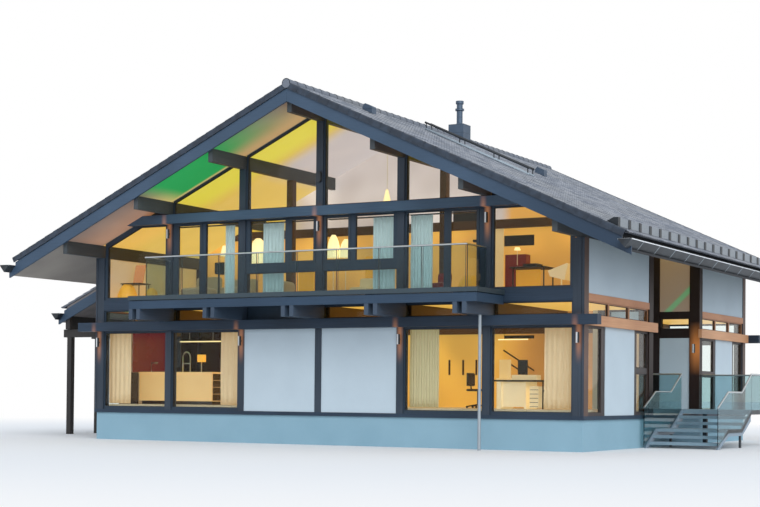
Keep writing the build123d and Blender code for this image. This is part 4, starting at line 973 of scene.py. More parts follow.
def hull(points):
    """A closed convex shape around points."""
    shape = bmesh.new()
    for point in points:
        shape.verts.new(point)
    bmesh.ops.convex_hull(shape, input=shape.verts)
    bmesh.ops.dissolve_limit(shape, angle_limit=0.01, verts=shape.verts, edges=shape.edges)
    shape.verts.index_update()
    verts = [vert.co.copy() for vert in shape.verts]
    faces = [tuple(vert.index for vert in face.verts) for face in shape.faces]
    shape.free()
    return verts, faces


def board(x, y, z, ease=0.006):
    """A squared board between two values along each axis, with its edges eased."""
    points = []
    for i in (0, 1):
        for j in (0, 1):
            for k in (0, 1):
                corner = Vector((x[i], y[j], z[k]))
                inward = [(1 - 2 * n) * ease for n in (i, j, k)]
                for flush in range(3):
                    shift = [0 if n == flush else inward[n] for n in range(3)]
                    points.append(corner + Vector(shift))
    return hull(points)


def woven_cloth(name, hex_light, hex_dark, hex_lit, lit_share):
    """Plain-woven cloth: matt and soft, with 1 mm threads drawn 6 mm apart, and lit from indoors."""
    material, tree, shader = new_finish(
        name, Roughness=0.9, Sheen_Weight=0.25, Specular_IOR_Level=0.2, Emission_Strength=lit_share)
    across = add(tree, "ShaderNodeUVMap", uv_map="cloth")
    warp = add(tree, "ShaderNodeTexWave", {"Vector": across, "Scale": 26.0, "Distortion": 0.4})
    weft = add(tree, "ShaderNodeTexWave", {"Vector": across, "Scale": 26.0}, bands_direction="Y")
    threads = add(tree, "ShaderNodeMath", {
        0: warp.outputs["Fac"], 1: weft.outputs["Fac"]}, operation="MULTIPLY")
    bump = add(tree, "ShaderNodeBump", {"Height": threads, "Strength": 0.2, "Distance": 0.001})
    set_inputs(shader, {
        "Base Color": coated(tree, hex_dark, (threads, hex_light)), "Normal": bump,
        "Emission Color": hex_lit})
    return material


CURTAIN_LINE = -6.47
CURTAIN_THICKNESS = 0.002
CURTAIN_ROWS = 8
FOLD_STEPS = 12
FOLD_SWAY = 0.006
FOLD_GROWTH = 0.2


def curtain(name, x, z, fold_pitch, fold_depth, material):
    """A curtain between two sides, in folds that deepen a little towards the hem."""
    folds = max(2, round((x[1] - x[0]) / fold_pitch))
    columns = folds * FOLD_STEPS
    rows = CURTAIN_ROWS
    front, across = [], [0.0]
    for row in range(rows + 1):
        drop = row / rows
        depth = fold_depth * (1 - FOLD_GROWTH * (1 - drop))
        line = []
        for column in range(columns + 1):
            turn = 2 * math.pi * folds * column / columns
            sway = FOLD_SWAY * math.sin(turn / folds * 1.5 + row)
            line.append(Vector((x[0] + (x[1] - x[0]) * column / columns,
                                CURTAIN_LINE + depth * math.sin(turn) + sway,
                                z[1] + (z[0] - z[1]) * drop)))
        front.append(line)
    middle = front[rows // 2]
    for a, b in zip(middle, middle[1:]):
        across.append(across[-1] + (b - a).length)
    width = columns + 1
    verts = [point for line in front for point in line]
    verts += [point + Vector((0, CURTAIN_THICKNESS, 0)) for point in verts]
    back = width * (rows + 1)
    faces = []
    for row in range(rows):
        for column in range(columns):
            a = row * width + column
            b, c, d = a + 1, a + 1 + width, a + width
            faces += [(a, d, c, b), (back + a, back + b, back + c, back + d)]
    edge = list(range(columns + 1))
    edge += [row * width + columns for row in range(1, rows + 1)]
    edge += [rows * width + column for column in range(columns - 1, -1, -1)]
    edge += [row * width for row in range(rows - 1, 0, -1)]
    for k, a in enumerate(edge):
        b = edge[(k + 1) % len(edge)]
        faces.append((a, b, back + b, back + a))
    piece = gathered(name, [(verts, faces)], material, smooth_shaded=True)
    layer = piece.data.uv_layers.new(name="cloth")
    for loop in piece.data.loops:
        vert = loop.vertex_index % back
        drop = z[1] - piece.data.vertices[vert].co.z
        layer.data[loop.index].uv = (across[vert % width], drop)
    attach(piece, "root")


# The boards that the curtains hang from, each between two posts.
GROUND_RAIL = 3.352
UPPER_RAIL = 6.072
RAIL_FACES = (-6.573, -6.415)
RAIL_THICKNESS = 0.022
RAIL_GAP = 0.002
solids = []
for left, right, top in ((-7.33, -5.1, GROUND_RAIL), (-4.9, -2.6, GROUND_RAIL), (2.6, 4.9, GROUND_RAIL),
                         (5.1, 7.33, GROUND_RAIL), (-4.9, -2.6, UPPER_RAIL), (-2.4, -0.1, UPPER_RAIL),
                         (0.1, 2.4, UPPER_RAIL), (2.6, 4.9, UPPER_RAIL)):
    solids.append(board((left + RAIL_GAP, right - RAIL_GAP), RAIL_FACES, (top, top + RAIL_THICKNESS)))
curtain_boards = gathered("curtain_boards", solids, slate_across)
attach(curtain_boards, "root")

# Each curtain: its sides, its hem and top, the pitch and depth of its folds, and its cloth.
warm_cloth = woven_cloth("undyed_curtain_cloth", "#E2D3BC", "#C9B99F", "#D3A05C", 0.42)
cool_cloth = woven_cloth("pale_blue_curtain_cloth", "#D3DEDE", "#B4C6CA", "#A3B2B2", 0.36)
pale_cloth = woven_cloth("pale_linen_curtain_cloth", "#D8CFB6", "#BBB298", "#B79F60", 0.35)
GROUND_HEM = 1.04
UPPER_HEM = 4.04
for name, x, z, pitch, depth, cloth in (
    ("curtain_kitchen_left", (-7.42, -6.62), (GROUND_HEM, GROUND_RAIL), 0.16, 0.018, warm_cloth),
    ("curtain_kitchen_right", (-3.44, -2.80), (GROUND_HEM, GROUND_RAIL), 0.16, 0.018, warm_cloth),
    ("curtain_study_left", (2.60, 3.46), (GROUND_HEM, GROUND_RAIL), 0.08, 0.020, pale_cloth),
    ("curtain_study_right", (6.43, 7.26), (GROUND_HEM, GROUND_RAIL), 0.13, 0.020, warm_cloth),
    ("curtain_upper_second", (-3.32, -3.00), (UPPER_HEM, UPPER_RAIL), 0.106, 0.020, cool_cloth),
    ("curtain_upper_third", (-2.05, -1.36), (UPPER_HEM, UPPER_RAIL), 0.12, 0.020, cool_cloth),
    ("curtain_upper_fourth", (1.46, 2.14), (UPPER_HEM, UPPER_RAIL), 0.11, 0.028, cool_cloth),
    ("curtain_upper_fifth", (2.60, 3.25), (UPPER_HEM, UPPER_RAIL), 0.08, 0.026, cool_cloth),
):
    curtain(name, x, z, pitch, depth, cloth)

# Kitchen
# A long island of cream lacquered board with a thin worktop, wall units in a dark gloss finish,
# a plain red glass splashback, tall taps, and a bar lamp on two thin steel rods.


def lacquer(name, hex_light, hex_dark, roughness=0.3, hex_lit="#FFFFFF", lit_share=0.0):
    """Sprayed board: even and smooth, with a faint orange peel, and with lit_share a painted glow of the
    room's light.
    """
    material, tree, shader = new_finish(
        name, Roughness=roughness, Emission_Color=hex_lit, Emission_Strength=lit_share)
    place = add(tree, "ShaderNodeTexCoord").outputs["Object"]
    cloud = add(tree, "ShaderNodeTexNoise", {"Vector": place, "Scale": 2.0, "Detail": 2.0})
    peel = add(tree, "ShaderNodeTexNoise", {"Vector": place, "Scale": 120.0})
    bump = add(tree, "ShaderNodeBump", {"Height": peel, "Strength": 0.1, "Distance": 0.0005})
    set_inputs(shader, {"Base Color": coated(tree, hex_dark, (cloud, hex_light)), "Normal": bump})
    return material


def furnish(name, material, solids, smooth_shaded=False):
    """Loose furniture of one finish, standing in the house."""
    piece = gathered(name, solids, material, smooth_shaded)
    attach(piece, "root")


def upright(x, y, foot, head, radius, sides=10):
    """A round bar that stands upright."""
    return tube([(x, y, foot), (x, y, head)], radius, sides)


# Satin and gloss sprayed boards, a back-painted glass panel, and opal glass that is lit inside. The cream
# board, the red glass and the honey box also glow with painted room light.
cream_lacquer = lacquer("cream_lacquered_board", "#EFD6AC", "#E2C392", 0.35, "#E8B468", 0.42)
dark_gloss = lacquer("dark_gloss_board", "#3A2A22", "#251A16", 0.15)
red_glass = lacquer("red_back_painted_glass", "#4A0A12", "#38080E", 0.12, "#8C0A1E", 0.3)
lamp_opal = lacquer("lit_opal_glass", "#FFF3D6", "#FBE6BC", 0.4, "#FFE2A0", 1.0)
honey_box = lacquer("honey_coloured_box", "#F2B845", "#E0A132", 0.5, "#F0B040", 0.7)

ROOM_FLOOR = 1.021
ROOM_CEILING = 3.735
LEFT_WALL = -7.335
ISLAND_TOP = 1.98
furnish("kitchen_island", cream_lacquer, [
    board((-7.31, -4.65), (-5.2, -4.3), (ROOM_FLOOR + 0.1, ISLAND_TOP - 0.04), 0.004),
    board((-7.33, -4.63), (-5.22, -4.28), (ISLAND_TOP - 0.037, ISLAND_TOP), 0.004)])

# The island's recessed base and its drawer fronts, then one low unit and two tall ones.
DRAWER_PITCH = 0.2
DRAWER_HEIGHT = 0.188
units = [board((-7.26, -4.70), (-5.13, -4.35), (ROOM_FLOOR, ROOM_FLOOR + 0.097), 0.004)]
for k in range(4):
    level = ROOM_FLOOR + 0.12 + k * DRAWER_PITCH
    units.append(board((-4.648, -4.633), (-5.16, -4.34), (level, level + DRAWER_HEIGHT), 0.003))
units.append(board((LEFT_WALL, -7.295), (-6.13, -5.25), (ROOM_FLOOR, 1.96)))
units.append(board((LEFT_WALL, -7.295), (-3.15, -2.31), (ROOM_FLOOR, 3.3)))
units.append(board((-6.96, -6.23), (-2.6, -2.018), (ROOM_FLOOR, 3.3)))
furnish("kitchen_units", dark_gloss, units)
furnish("kitchen_splashback", red_glass, [board((LEFT_WALL, -7.32), (-5.5, -3.78), (1.97, 3.35), 0.003)])

# A tall tap that is bent over between two uprights, two lower ones, and the rods of the lamp.
TAP_LINE = -4.75
TAP_LEFT = -6.04
TAP_RIGHT = -5.77
TAP_TOP = 2.42
TAP_CROWN = 0.16
BAR_LAMP = (2.875, 2.905)
ROD_RADIUS = 0.004
arc_middle = (TAP_LEFT + TAP_RIGHT) / 2
arc_radius = (TAP_RIGHT - TAP_LEFT) / 2
arc = [(arc_middle - arc_radius * math.cos(math.pi * k / 10), TAP_LINE,
        TAP_TOP + TAP_CROWN * math.sin(math.pi * k / 10)) for k in range(11)]
taps = [
    upright(TAP_LEFT, TAP_LINE, ISLAND_TOP, TAP_TOP, 0.022),
    upright(TAP_RIGHT, TAP_LINE, ISLAND_TOP, TAP_TOP, 0.016),
    tube([(TAP_LEFT, TAP_LINE, 2.24), (TAP_RIGHT, TAP_LINE, 2.24)], 0.014),
    tube(arc, 0.020),
    tube([(-7.21, TAP_LINE, ISLAND_TOP), (-7.21, TAP_LINE, 2.26), (-6.98, TAP_LINE, 2.26)], 0.018),
    upright(-5.36, TAP_LINE, ISLAND_TOP, 2.28, 0.016),
]
rods = [upright(x, TAP_LINE, BAR_LAMP[1], ROOM_CEILING, ROD_RADIUS, 6) for x in (-5.8, -4.95)]
furnish("kitchen_taps", brushed_steel, taps + rods, True)
furnish("kitchen_bar_lamp", lamp_opal, [board((-6.14, -4.68), (-4.78, -4.72), BAR_LAMP, 0.008)])
furnish("kitchen_box", honey_box, [board((-5.46, -5.25), (-4.83, -4.67), (2.282, 2.5))])

# Study
# A desk with a thin top on a white panel and a drawer unit, a screen, a task chair on castors, a
# pinboard against the wall, a bar lamp on thin rods, and a stair rail on the back wall.

# Satin white board, dark moulded plastic and oiled walnut: all plain and even. The white board glows with
# painted room light, and the dark plastic also makes the painted shadow strips on the back walls.
white_lacquer = lacquer("white_lacquered_board", "#EEE6D4", "#E0D7C3", 0.4, "#E4BE7C", 0.42)
charcoal_and_shadow = lacquer("charcoal_plastic_and_painted_shadow", "#2A2622", "#1C1A18", 0.5)
oiled_walnut = stained_timber("oiled_walnut", "#5A4030", "#3D2A1F", "X", roughness=0.4)

# The desk's end panels, its back panel, the drawer unit, a low box on the desk, and the pinboard
# on its cabinet.
DESK_TOP = 1.78
furnish("study_desk", white_lacquer, [
    board((4.5, 4.62), (-5.15, -4.4), (ROOM_FLOOR, DESK_TOP - 0.042)),
    board((4.62, 5.28), (-5.05, -5.02), (ROOM_FLOOR + 0.05, DESK_TOP - 0.045)),
    board((5.28, 5.33), (-5.15, -4.4), (ROOM_FLOOR, DESK_TOP - 0.042)),
    board((5.42, 5.68), (-5.1, -4.5), (ROOM_FLOOR + 0.03, 1.62)),
    board((4.74, 5.46), (-4.75, -4.45), (DESK_TOP + 0.001, DESK_TOP + 0.14)),
    board((3.38, 3.73), (-2.62, -2.58), (1.86, 2.38)),
    board((3.38, 3.73), (-2.8, -2.4), (ROOM_FLOOR, 1.858)),
])

# The desk top, the screen on its foot, the dark legs and their rail, the gaps between the
# drawers, and a shadow strip on the back wall.
BACK_WALL_FACES = (-2.03, -2.016)
LEG_X = 5.8
LEG_RADIUS = 0.02
LEG_RAIL = 1.5
study_dark = [
    board((4.38, 5.9), (-5.2, -4.35), (DESK_TOP - 0.04, DESK_TOP), 0.004),
    board((4.86, 5.14), (-4.62, -4.59), (1.93, 2.32)),
    board((4.97, 5.03), (-4.61, -4.58), (DESK_TOP + 0.142, 1.93)),
    upright(LEG_X, -5.1, ROOM_FLOOR, DESK_TOP - 0.042, LEG_RADIUS, 8),
    upright(LEG_X, -5.1, ROOM_FLOOR, LEG_RAIL, LEG_RADIUS, 8),
    tube([(LEG_X, -5.1, LEG_RAIL), (LEG_X, -4.45, LEG_RAIL), (LEG_X, -4.45, ROOM_FLOOR)], LEG_RADIUS, 8),
]
for k in range(5):
    level = 1.08 + k * 0.11
    study_dark.append(board((5.43, 5.67), (-5.106, -5.101), (level, level + 0.012), 0.002))
study_dark.append(board((3.25, 4.18), BACK_WALL_FACES, (2.99, 3.08), 0.003))
furnish("study_dark_pieces", charcoal_and_shadow, study_dark)

# The chair's seat, back, column and back bar, and five legs with a castor under each.
CHAIR_X = 3.44
CHAIR_Y = -4.1
CHAIR_SEAT = (1.48, 1.54)
CASTOR_RADIUS = 0.03
CASTOR_TURN = 0.3
CASTOR_LEVEL = 1.051
castor_angles = [math.radians(angle) for angle in range(0, 360, 45)]
chair = [
    board((CHAIR_X - 0.24, CHAIR_X + 0.22), (CHAIR_Y - 0.25, CHAIR_Y + 0.22), CHAIR_SEAT, 0.02),
    hull([(CHAIR_X - 0.24, y, z) for y in (CHAIR_Y - 0.22, CHAIR_Y + 0.22) for z in (1.62, 1.98)] +
         [(CHAIR_X - 0.19, y, z) for y in (CHAIR_Y - 0.2, CHAIR_Y + 0.2) for z in (1.64, 1.95)]),
    upright(CHAIR_X, CHAIR_Y, 1.1, CHAIR_SEAT[0], 0.025),
    tube([(CHAIR_X - 0.2, CHAIR_Y, 1.5), (CHAIR_X - 0.225, CHAIR_Y, 1.7)], 0.02, 8),
]
for k in range(5):
    turn = 2 * math.pi * k / 5
    x = CHAIR_X + CASTOR_TURN * math.cos(turn)
    y = CHAIR_Y + CASTOR_TURN * math.sin(turn)
    chair.append(tube([(CHAIR_X, CHAIR_Y, 1.12), (x, y, 1.06)], 0.018, 8))
    chair.append(hull([
        (x + CASTOR_RADIUS * math.cos(a), y + side, CASTOR_LEVEL + CASTOR_RADIUS * math.sin(a))
        for a in castor_angles for side in (-0.02, 0.02)]))
furnish("study_chair", charcoal_and_shadow, chair)

# The bar lamp with its two rods, narrow slots in the back wall, and stair rails on brackets.
STUDY_LAMP = (2.85, 2.88)
RAIL_LINE = -2.06
furnish("study_bar_lamp", lamp_opal, [board((4.28, 5.14), (-4.63, -4.57), STUDY_LAMP, 0.008)])
slots = [board((x - 0.03, x + 0.03), BACK_WALL_FACES, (1.95, 2.39), 0.003) for x in (1.505, 1.95, 2.375)]
rods = [upright(x, -4.6, STUDY_LAMP[1], ROOM_CEILING, ROD_RADIUS, 6) for x in (4.45, 4.97)]
stair_rails = [tube([(left, RAIL_LINE, head), (right, RAIL_LINE, foot)], 0.022, 8)
               for left, head, right, foot in ((3.25, 2.66, 4.2, 2.08), (3.44, 2.28, 4.04, 1.92))]
brackets = [tube([(x, RAIL_LINE, z), (x, -2.017, z - 0.025)], 0.01, 6)
            for x, z in ((3.36, 2.585), (4.06, 2.16), (3.54, 2.215), (3.94, 1.975))]
furnish("study_wires_and_rail", oiled_walnut, slots + rods + stair_rails + brackets)

# Upper rooms
# A small table with a leaning board and shell chairs on the left, low sofas and chairs with
# cushions of wool, lamps with cone shades, and a writing table with an orange front on the right.

UPPER_FLOOR = 4.021
# The lacquered shells, boards and stems glow faintly with painted room light.
yellow_shell = lacquer("yellow_lacquered_shell", "#F0B83A", "#D99A28", 0.4, "#E09A28", 0.45)
salmon_board = lacquer("salmon_pinboard", "#D99B6C", "#C98657", 0.8, "#C07A48", 0.35)
red_lacquer = lacquer("dark_red_lacquered_board", "#8A2A26", "#6E1E1C", 0.5, "#6A1A14", 0.2)
white_stem = lacquer("white_lacquered_steel", "#E9E4DA", "#DCD6CA", 0.4, "#D8C090", 0.3)


def level_circle(x, y, z, radius, sides=24):
    """Points on a level circle."""
    turns = [2 * math.pi * k / sides for k in range(sides)]
    return [Vector((x + radius * math.cos(turn), y + radius * math.sin(turn), z)) for turn in turns]


def cone_shade(x, y, z, low_radius, top_radius, height):
    """A tapered lampshade with a closed top and bottom."""
    return prism([level_circle(x, y, z, low_radius), level_circle(x, y, z + height, top_radius)])


def dome(x, y, z, radius, height, steps=6):
    """A half-egg shell that stands on its rim."""
    angles = [math.pi / 2 * step / steps for step in range(steps)]
    return prism([level_circle(x, y, z + height * math.sin(a), radius * math.cos(a)) for a in angles])


# Shades and their stems: a cone and three domes that stand on the floor, a cone that hangs from
# the ridge, and a small cone on a short stem.
furnish("upper_lampshades", lamp_opal, [
    cone_shade(-3.67, -6.0, 5.27, 0.14, 0.07, 0.29),
    dome(-2.5, -6.05, 5.02, 0.28, 0.72),
    dome(-0.30, -5.6, 5.13, 0.19, 0.66), dome(0.10, -5.6, 5.13, 0.18, 0.52),
    cone_shade(0.82, -4.6, 6.65, 0.13, 0.03, 0.43),
    cone_shade(4.54, -4.0, 5.30, 0.09, 0.06, 0.08)])
furnish("upper_lamp_stems", white_stem, [upright(x, y, foot, head, 0.008, 6) for x, y, foot, head in (
    (-0.3, -5.6, UPPER_FLOOR, 5.13), (0.1, -5.6, UPPER_FLOOR, 5.13), (0.82, -4.6, 7.08, 8.65),
    (-2.5, -6.05, UPPER_FLOOR, 5.02), (-3.67, -6.0, UPPER_FLOOR, 5.27), (4.54, -4.0, 4.90, 5.30))])

# A box on two legs, a small table, the writing table with a tray on it, two shadow strips on the
# back wall, and a stand with a small head.
dark_pieces = [board((-4.06, -3.7), (-5.95, -5.6), (4.77, 5.1))]
dark_pieces += [upright(x, -5.78, UPPER_FLOOR, 4.78, 0.014, 6) for x in (-4.02, -3.74)]
dark_pieces.append(board((-7.15, -6.44), (-6.35, -5.8), (4.53, 4.56)))
dark_pieces += [upright(x, y, UPPER_FLOOR, 4.54, 0.016, 6) for x in (-7.1, -6.5) for y in (-6.3, -5.85)]
dark_pieces.append(board((4.86, 5.86), (-5.2, -4.4), (4.71, 4.75)))
dark_pieces.append(board((5.15, 5.55), (-5.0, -4.6), (4.752, 4.84)))
dark_pieces += [upright(x, y, UPPER_FLOOR, 4.72, 0.02, 8) for x in (4.92, 5.8) for y in (-5.1, -4.5)]
dark_pieces.append(board((3.23, 4.16), BACK_WALL_FACES, (5.63, 5.93), 0.003))
dark_pieces.append(board((1.59, 2.48), BACK_WALL_FACES, (6.16, 6.7), 0.003))
dark_pieces.append(upright(3.62, -4.6, UPPER_FLOOR, 5.5, 0.01, 6))
dark_pieces.append(board((3.52, 3.72), (-4.66, -4.54), (5.5, 5.57)))
furnish("upper_dark_pieces", charcoal_and_shadow, dark_pieces)


def wool_cloth(name, hex_light, hex_dark, hex_lit, lit_share):
    """Felted upholstery wool: matt and slightly fluffy, its 1 mm fibres drawn at 8 mm, with a painted glow
    of the room's light.
    """
    material, tree, shader = new_finish(
        name, Roughness=0.95, Sheen_Weight=0.4, Specular_IOR_Level=0.2, Emission_Color=hex_lit,
        Emission_Strength=lit_share)
    place = add(tree, "ShaderNodeTexCoord").outputs["Object"]
    felt = add(tree, "ShaderNodeTexNoise", {"Vector": place, "Scale": 125.0, "Detail": 2.0})
    bump = add(tree, "ShaderNodeBump", {"Height": felt, "Strength": 0.3, "Distance": 0.001})
    set_inputs(shader, {"Base Color": coated(tree, hex_dark, (felt, hex_light)), "Normal": bump})
    return material


CUSHION_SQUARENESS = 7
CUSHION_CROWN = 0.22
CUSHION_WAIST = 0.03


def cushion(name, x, y, z, material, lean=0.0):
    """A padded block: crowned in the middle, with sides that pull in between its corners."""
    shape = bmesh.new()
    bmesh.ops.create_cube(shape, size=2.0)
    bmesh.ops.subdivide_edges(shape, edges=shape.edges, cuts=9, use_grid_fill=True)
    middle = Vector([(a + b) / 2 for a, b in (x, y, z)])
    half = Vector([(b - a) / 2 for a, b in (x, y, z)])
    thin = min(range(3), key=lambda axis: half[axis])
    wide = [axis for axis in range(3) if axis != thin]
    for vert in shape.verts:
        p = vert.co.copy()
        length = sum(abs(v) ** CUSHION_SQUARENESS for v in p) ** (1 / CUSHION_SQUARENESS)
        p *= max(abs(v) for v in p) / length
        a, b = p[wide[0]], p[wide[1]]
        p[thin] *= 1 - CUSHION_CROWN * (abs(a) ** 3 + abs(b) ** 3) / 2
        p[wide[0]] *= 1 - CUSHION_WAIST * (1 - b * b)
        p[wide[1]] *= 1 - CUSHION_WAIST * (1 - a * a)
        vert.co = middle + Vector([p[axis] * half[axis] for axis in range(3)])
        vert.co.y += lean * (vert.co.z - z[0])
    shape.normal_update()
    piece = mesh_object(name, [], [], material)
    shape.to_mesh(piece.data)
    shape.free()
    piece.data.polygons.foreach_set("use_smooth", [True] * len(piece.data.polygons))
    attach(piece, "root")


# The wool glows faintly with painted room light.
grey_wool = wool_cloth("grey_upholstery_wool", "#B4AFA0", "#9A9587", "#9A7A45", 0.25)
red_wool = wool_cloth("dark_red_upholstery_wool", "#8A2A2A", "#6E1E20", "#6A1A18", 0.2)
cream_wool = wool_cloth("cream_upholstery_wool", "#E4DAC4", "#CFC4AC", "#D0A868", 0.35)
SEAT_BASE = 4.14
BACK_BASE = 4.16
cushion("sofa_seat_left", (-5.5, -4.62), (-5.7, -4.95), (SEAT_BASE, 4.44), grey_wool)
cushion("sofa_back_left", (-5.5, -4.62), (-4.94, -4.74), (BACK_BASE, 4.80), grey_wool, 0.08)
cushion("sofa_seat_right", (-4.32, -3.5), (-5.5, -4.75), (SEAT_BASE, 4.44), grey_wool)
cushion("sofa_back_right", (-4.32, -3.5), (-4.74, -4.54), (BACK_BASE, 4.72), grey_wool, 0.08)
cushion("pouffe_pad", (-2.9, -2.2), (-5.2, -4.5), (SEAT_BASE, 4.6), grey_wool)
cushion("cream_chair_seat", (0.30, 0.92), (-5.8, -5.25), (SEAT_BASE, 4.30), cream_wool)
cushion("cream_chair_back", (0.30, 0.92), (-5.24, -5.12), (BACK_BASE, 4.58), cream_wool, 0.12)
cushion("red_chair_seat", (3.02, 3.42), (-6.2, -5.8), (SEAT_BASE, 4.32), red_wool)
cushion("red_chair_back", (3.02, 3.42), (-5.79, -5.69), (BACK_BASE, 4.60), red_wool, 0.12)
furnish("upper_seat_bases", charcoal_and_shadow, [
    board(x, y, (UPPER_FLOOR, SEAT_BASE), 0.01) for x, y in (
        ((-5.48, -4.64), (-5.68, -4.76)), ((-4.30, -3.52), (-5.48, -4.56)),
        ((-2.88, -2.22), (-5.18, -4.52)), ((0.32, 0.90), (-5.78, -5.14)),
        ((3.04, 3.40), (-6.18, -5.71)))])

# A white shell chair on one foot with a narrow cupboard behind it, yellow shells and boxes, the
# orange front of the writing table, the leaning board, and two dark red boxes.
furnish("upper_shell_chairs", white_lacquer, [
    hull([(x, y, z) for x, z in ((6.04, 4.6), (6.1, 4.45), (6.5, 4.35), (6.6, 4.76), (6.56, 4.78))
          for y in (-5.4, -4.9)]),
    upright(6.32, -5.15, UPPER_FLOOR, 4.42, 0.02, 8),
    board((2.81, 3.22), (-2.05, -2.016), (UPPER_FLOOR, 6.17), 0.004)])
furnish("upper_yellow_shells", yellow_shell, [
    dome(-7.0, -6.2, UPPER_FLOOR, 0.3, 0.55), dome(-6.2, -6.1, UPPER_FLOOR, 0.22, 0.4),
    dome(4.0, -5.8, UPPER_FLOOR, 0.33, 0.53),
    board((-2.0, -1.5), (-4.7, -4.2), (UPPER_FLOOR, 4.86)),
    board((0.35, 0.65), (-5.0, -4.7), (UPPER_FLOOR, 5.2), 0.04),
    board((4.96, 5.66), (-5.0, -4.97), (4.19, 4.68))])
furnish("upper_leaning_board", salmon_board, [
    hull([(x, y + shift, z) for x in (-6.95, -6.6) for z, shift in ((4.56, 0.0), (5.12, 0.14))
          for y in (-6.02, -5.99)])])
furnish("upper_red_boxes", red_lacquer, [
    board((3.71, 4.35), (-3.0, -2.7), (4.96, 5.29), 0.01),
    board((3.71, 4.02), (-3.0, -2.7), (UPPER_FLOOR, 4.958), 0.01)])

# Balcony
# Paired joists carry a deck with a dark nosing, a deep edge board, and a balustrade of clear
# toughened glass under a round steel rail.

# The opaque slate stain again: a paler grey on the joists, and bluer on the edge board.
dress(stained_timber("joist_timber", "#465465", "#344252", "Y"), "balcony_joists")
dress(stained_timber("fascia_timber", "#34495F", "#273A4E", "X"), "balcony_fascia")

# Grey deck covering: matt, with small clouds of wear.
deck_board = mottled("grey_deck_covering", "#283740", "#36464F", 25.0, Roughness=0.55)
dress(deck_board, "balcony_deck")

# Toughened glass: clear in the balustrade and a little more tinted beside the stair. Each tint is the
# glass's own faint green, deepened as painted reflection.
for name, tint_and_reflection, node in (("toughened_rail_glass", "#D2E2E4", "balcony_glass"),
                         ("tinted_stair_glass", "#AECACE", "stair_glass")):
    dress(new_finish(name, Roughness=0.0, IOR=1.25, Transmission_Weight=1.0, Base_Color=tint_and_reflection)[0], node)

# The ground edges of the balcony panes show as dark green lines.
EDGE_PROUD = 0.0005
EDGE_INSET = 0.001
EDGE_WIDTH = 0.011
edge_glass = mottled("dark_green_glass_edge", "#26393C", "#35494C", 10.0, Roughness=0.3)
solids = [ring(flat, near - EDGE_PROUD, far + EDGE_PROUD, drawn_in(points, EDGE_INSET), EDGE_WIDTH)
          for flat, near, far, points in panes("balcony_glass")]
glass_edges = gathered("balcony_glass_edges", solids, edge_glass)
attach(glass_edges, "root")

# Entrance stair
# Flat-cut steel stringers in a pale coat, with pale reconstituted stone treads and a platform of
# the same stone.

# Coated steel: smooth blue-grey with a soft sheen.
coated_steel = mottled(
    "blue_grey_coated_steel", "#75899A", "#8B9EAD", 8.0, Metallic=0.2, Roughness=0.4)
dress(coated_steel, "stair_stringers")
dress(ladder_steel, "stair_posts")
# Reconstituted stone: pale blue-grey and matt. Its 3 mm grit is drawn at 12 mm.
tread_stone = render_coat("blue_grey_tread_stone", "#869EAC", "#708896", 12, 0.5)
dress(tread_stone, "stair_treads", "entrance_platform")

# Lamps
# Small turned aluminium lamps on short arms on the posts, with the small dark speaker on the
# ridge post and the zinc downpipe under the outer balcony joist.

# Satin aluminium: the left of each lamp is pale and bright, and its right is painted dark as the shade on
# that side.
SHADE_EDGE = 0.012
lamp_metal, tree, shader = new_finish("satin_lamp_aluminium", Metallic=0.3, Roughness=0.35)
place = add(tree, "ShaderNodeTexCoord").outputs["Object"]
x = add(tree, "ShaderNodeSeparateXYZ", {"Vector": place}).outputs["X"]
film = add(tree, "ShaderNodeTexNoise", {"Vector": place, "Scale": 60.0})
aside = add(tree, "ShaderNodeMath", {
    0: x, 1: BAY_WIDTH / 2, 2: -BAY_WIDTH / 2}, operation="WRAP")
painted_shade_side = zone(tree, (aside, SHADE_EDGE, SHADE_EDGE + 0.004))
set_inputs(shader, {"Base Color": coated(tree, "#C9CDD0", (film, "#E0E3E4"), (painted_shade_side, "#23282E"))})
dress(lamp_metal, "wall_lamps")

# Weathered zinc: a soft even grey.
pale_zinc = mottled(
    "weathered_zinc", "#8C969E", "#A7B0B7", 4.0, detail=3.0, Metallic=0.3, Roughness=0.45)
dress(pale_zinc, "downpipe", "gutter_straps")
dress(zinc_dark, "wall_speaker")

# Studio
# A plain pale floor that runs out to white, white surroundings, one soft key light, and the
# camera at the photograph's viewing angle.

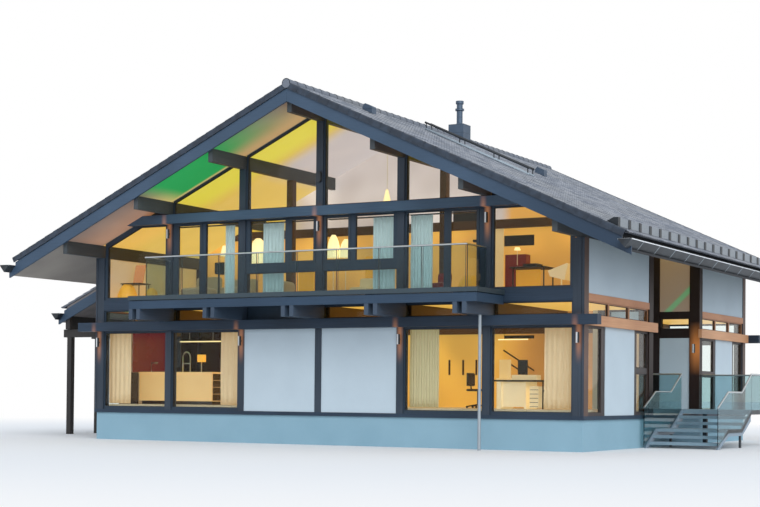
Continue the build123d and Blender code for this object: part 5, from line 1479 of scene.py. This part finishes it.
FLOOR_REACH = 400
ground, tree, shader = new_finish("studio_floor", Roughness=1.0, Base_Color="#F1F2F3")
place = add(tree, "ShaderNodeTexCoord").outputs["Object"]
far_off = add(tree, "ShaderNodeVectorMath", {0: place}, operation="LENGTH")
seen = add(tree, "ShaderNodeLightPath").outputs["Is Camera Ray"]
white = add(tree, "ShaderNodeEmission", {"Color": "#FFFFFF", "Strength": 1.0})
mixed = add(tree, "ShaderNodeMixShader", {
    0: zone(tree, (far_off, 18.0, 42.0), full=seen), 1: shader, 2: white})
set_inputs(tree.nodes["Material Output"], {"Surface": mixed})
studio_floor = mesh_object("studio_floor", [
    (x * FLOOR_REACH, y * FLOOR_REACH, -0.001) for x, y in ((-1, -1), (1, -1), (1, 1), (-1, 1))],
    [(0, 1, 2, 3)], ground)

world = bpy.data.worlds.new("studio_world")
bpy.context.scene.world = world
world.use_nodes = True
tree = world.node_tree
tree.nodes.clear()
path = add(tree, "ShaderNodeLightPath").outputs
lighting = add(tree, "ShaderNodeBackground", {"Color": "#E9F1FB", "Strength": 0.77})
backdrop = add(tree, "ShaderNodeBackground", {"Color": "#FFFFFF", "Strength": 1.0})
glossy = add(tree, "ShaderNodeMath", {
    0: path["Is Camera Ray"], 1: path["Is Glossy Ray"]}, operation="MAXIMUM")
plain = add(tree, "ShaderNodeMath", {0: glossy, 1: path["Is Transmission Ray"]}, operation="MAXIMUM")
choice = add(tree, "ShaderNodeMixShader", {0: plain, 1: lighting, 2: backdrop})
add(tree, "ShaderNodeOutputWorld", {"Surface": choice})

key_data = bpy.data.lights.new("key_light", "SUN")
key_data.energy = 1.85
key_data.angle = math.radians(50)
key_light = bpy.data.objects.new("key_light", key_data)
key_light.rotation_euler = (math.radians(62), 0, math.radians(46))
bpy.context.scene.collection.objects.link(key_light)

camera_data = bpy.data.cameras.new("camera")
camera_data.lens = 73.795
camera_data.sensor_width = 36
camera_data.shift_x = -0.01785
camera_data.shift_y = 0.15198
camera_data.clip_end = 1000
camera = bpy.data.objects.new("camera", camera_data)
camera.location = (22.0391, -42.4266, 1.3779)
camera.rotation_euler = (math.radians(90.9277), -0.0090688, 0.5059532)
bpy.context.scene.collection.objects.link(camera)
bpy.context.scene.camera = camera
bpy.context.scene.view_settings.view_transform = "Standard"
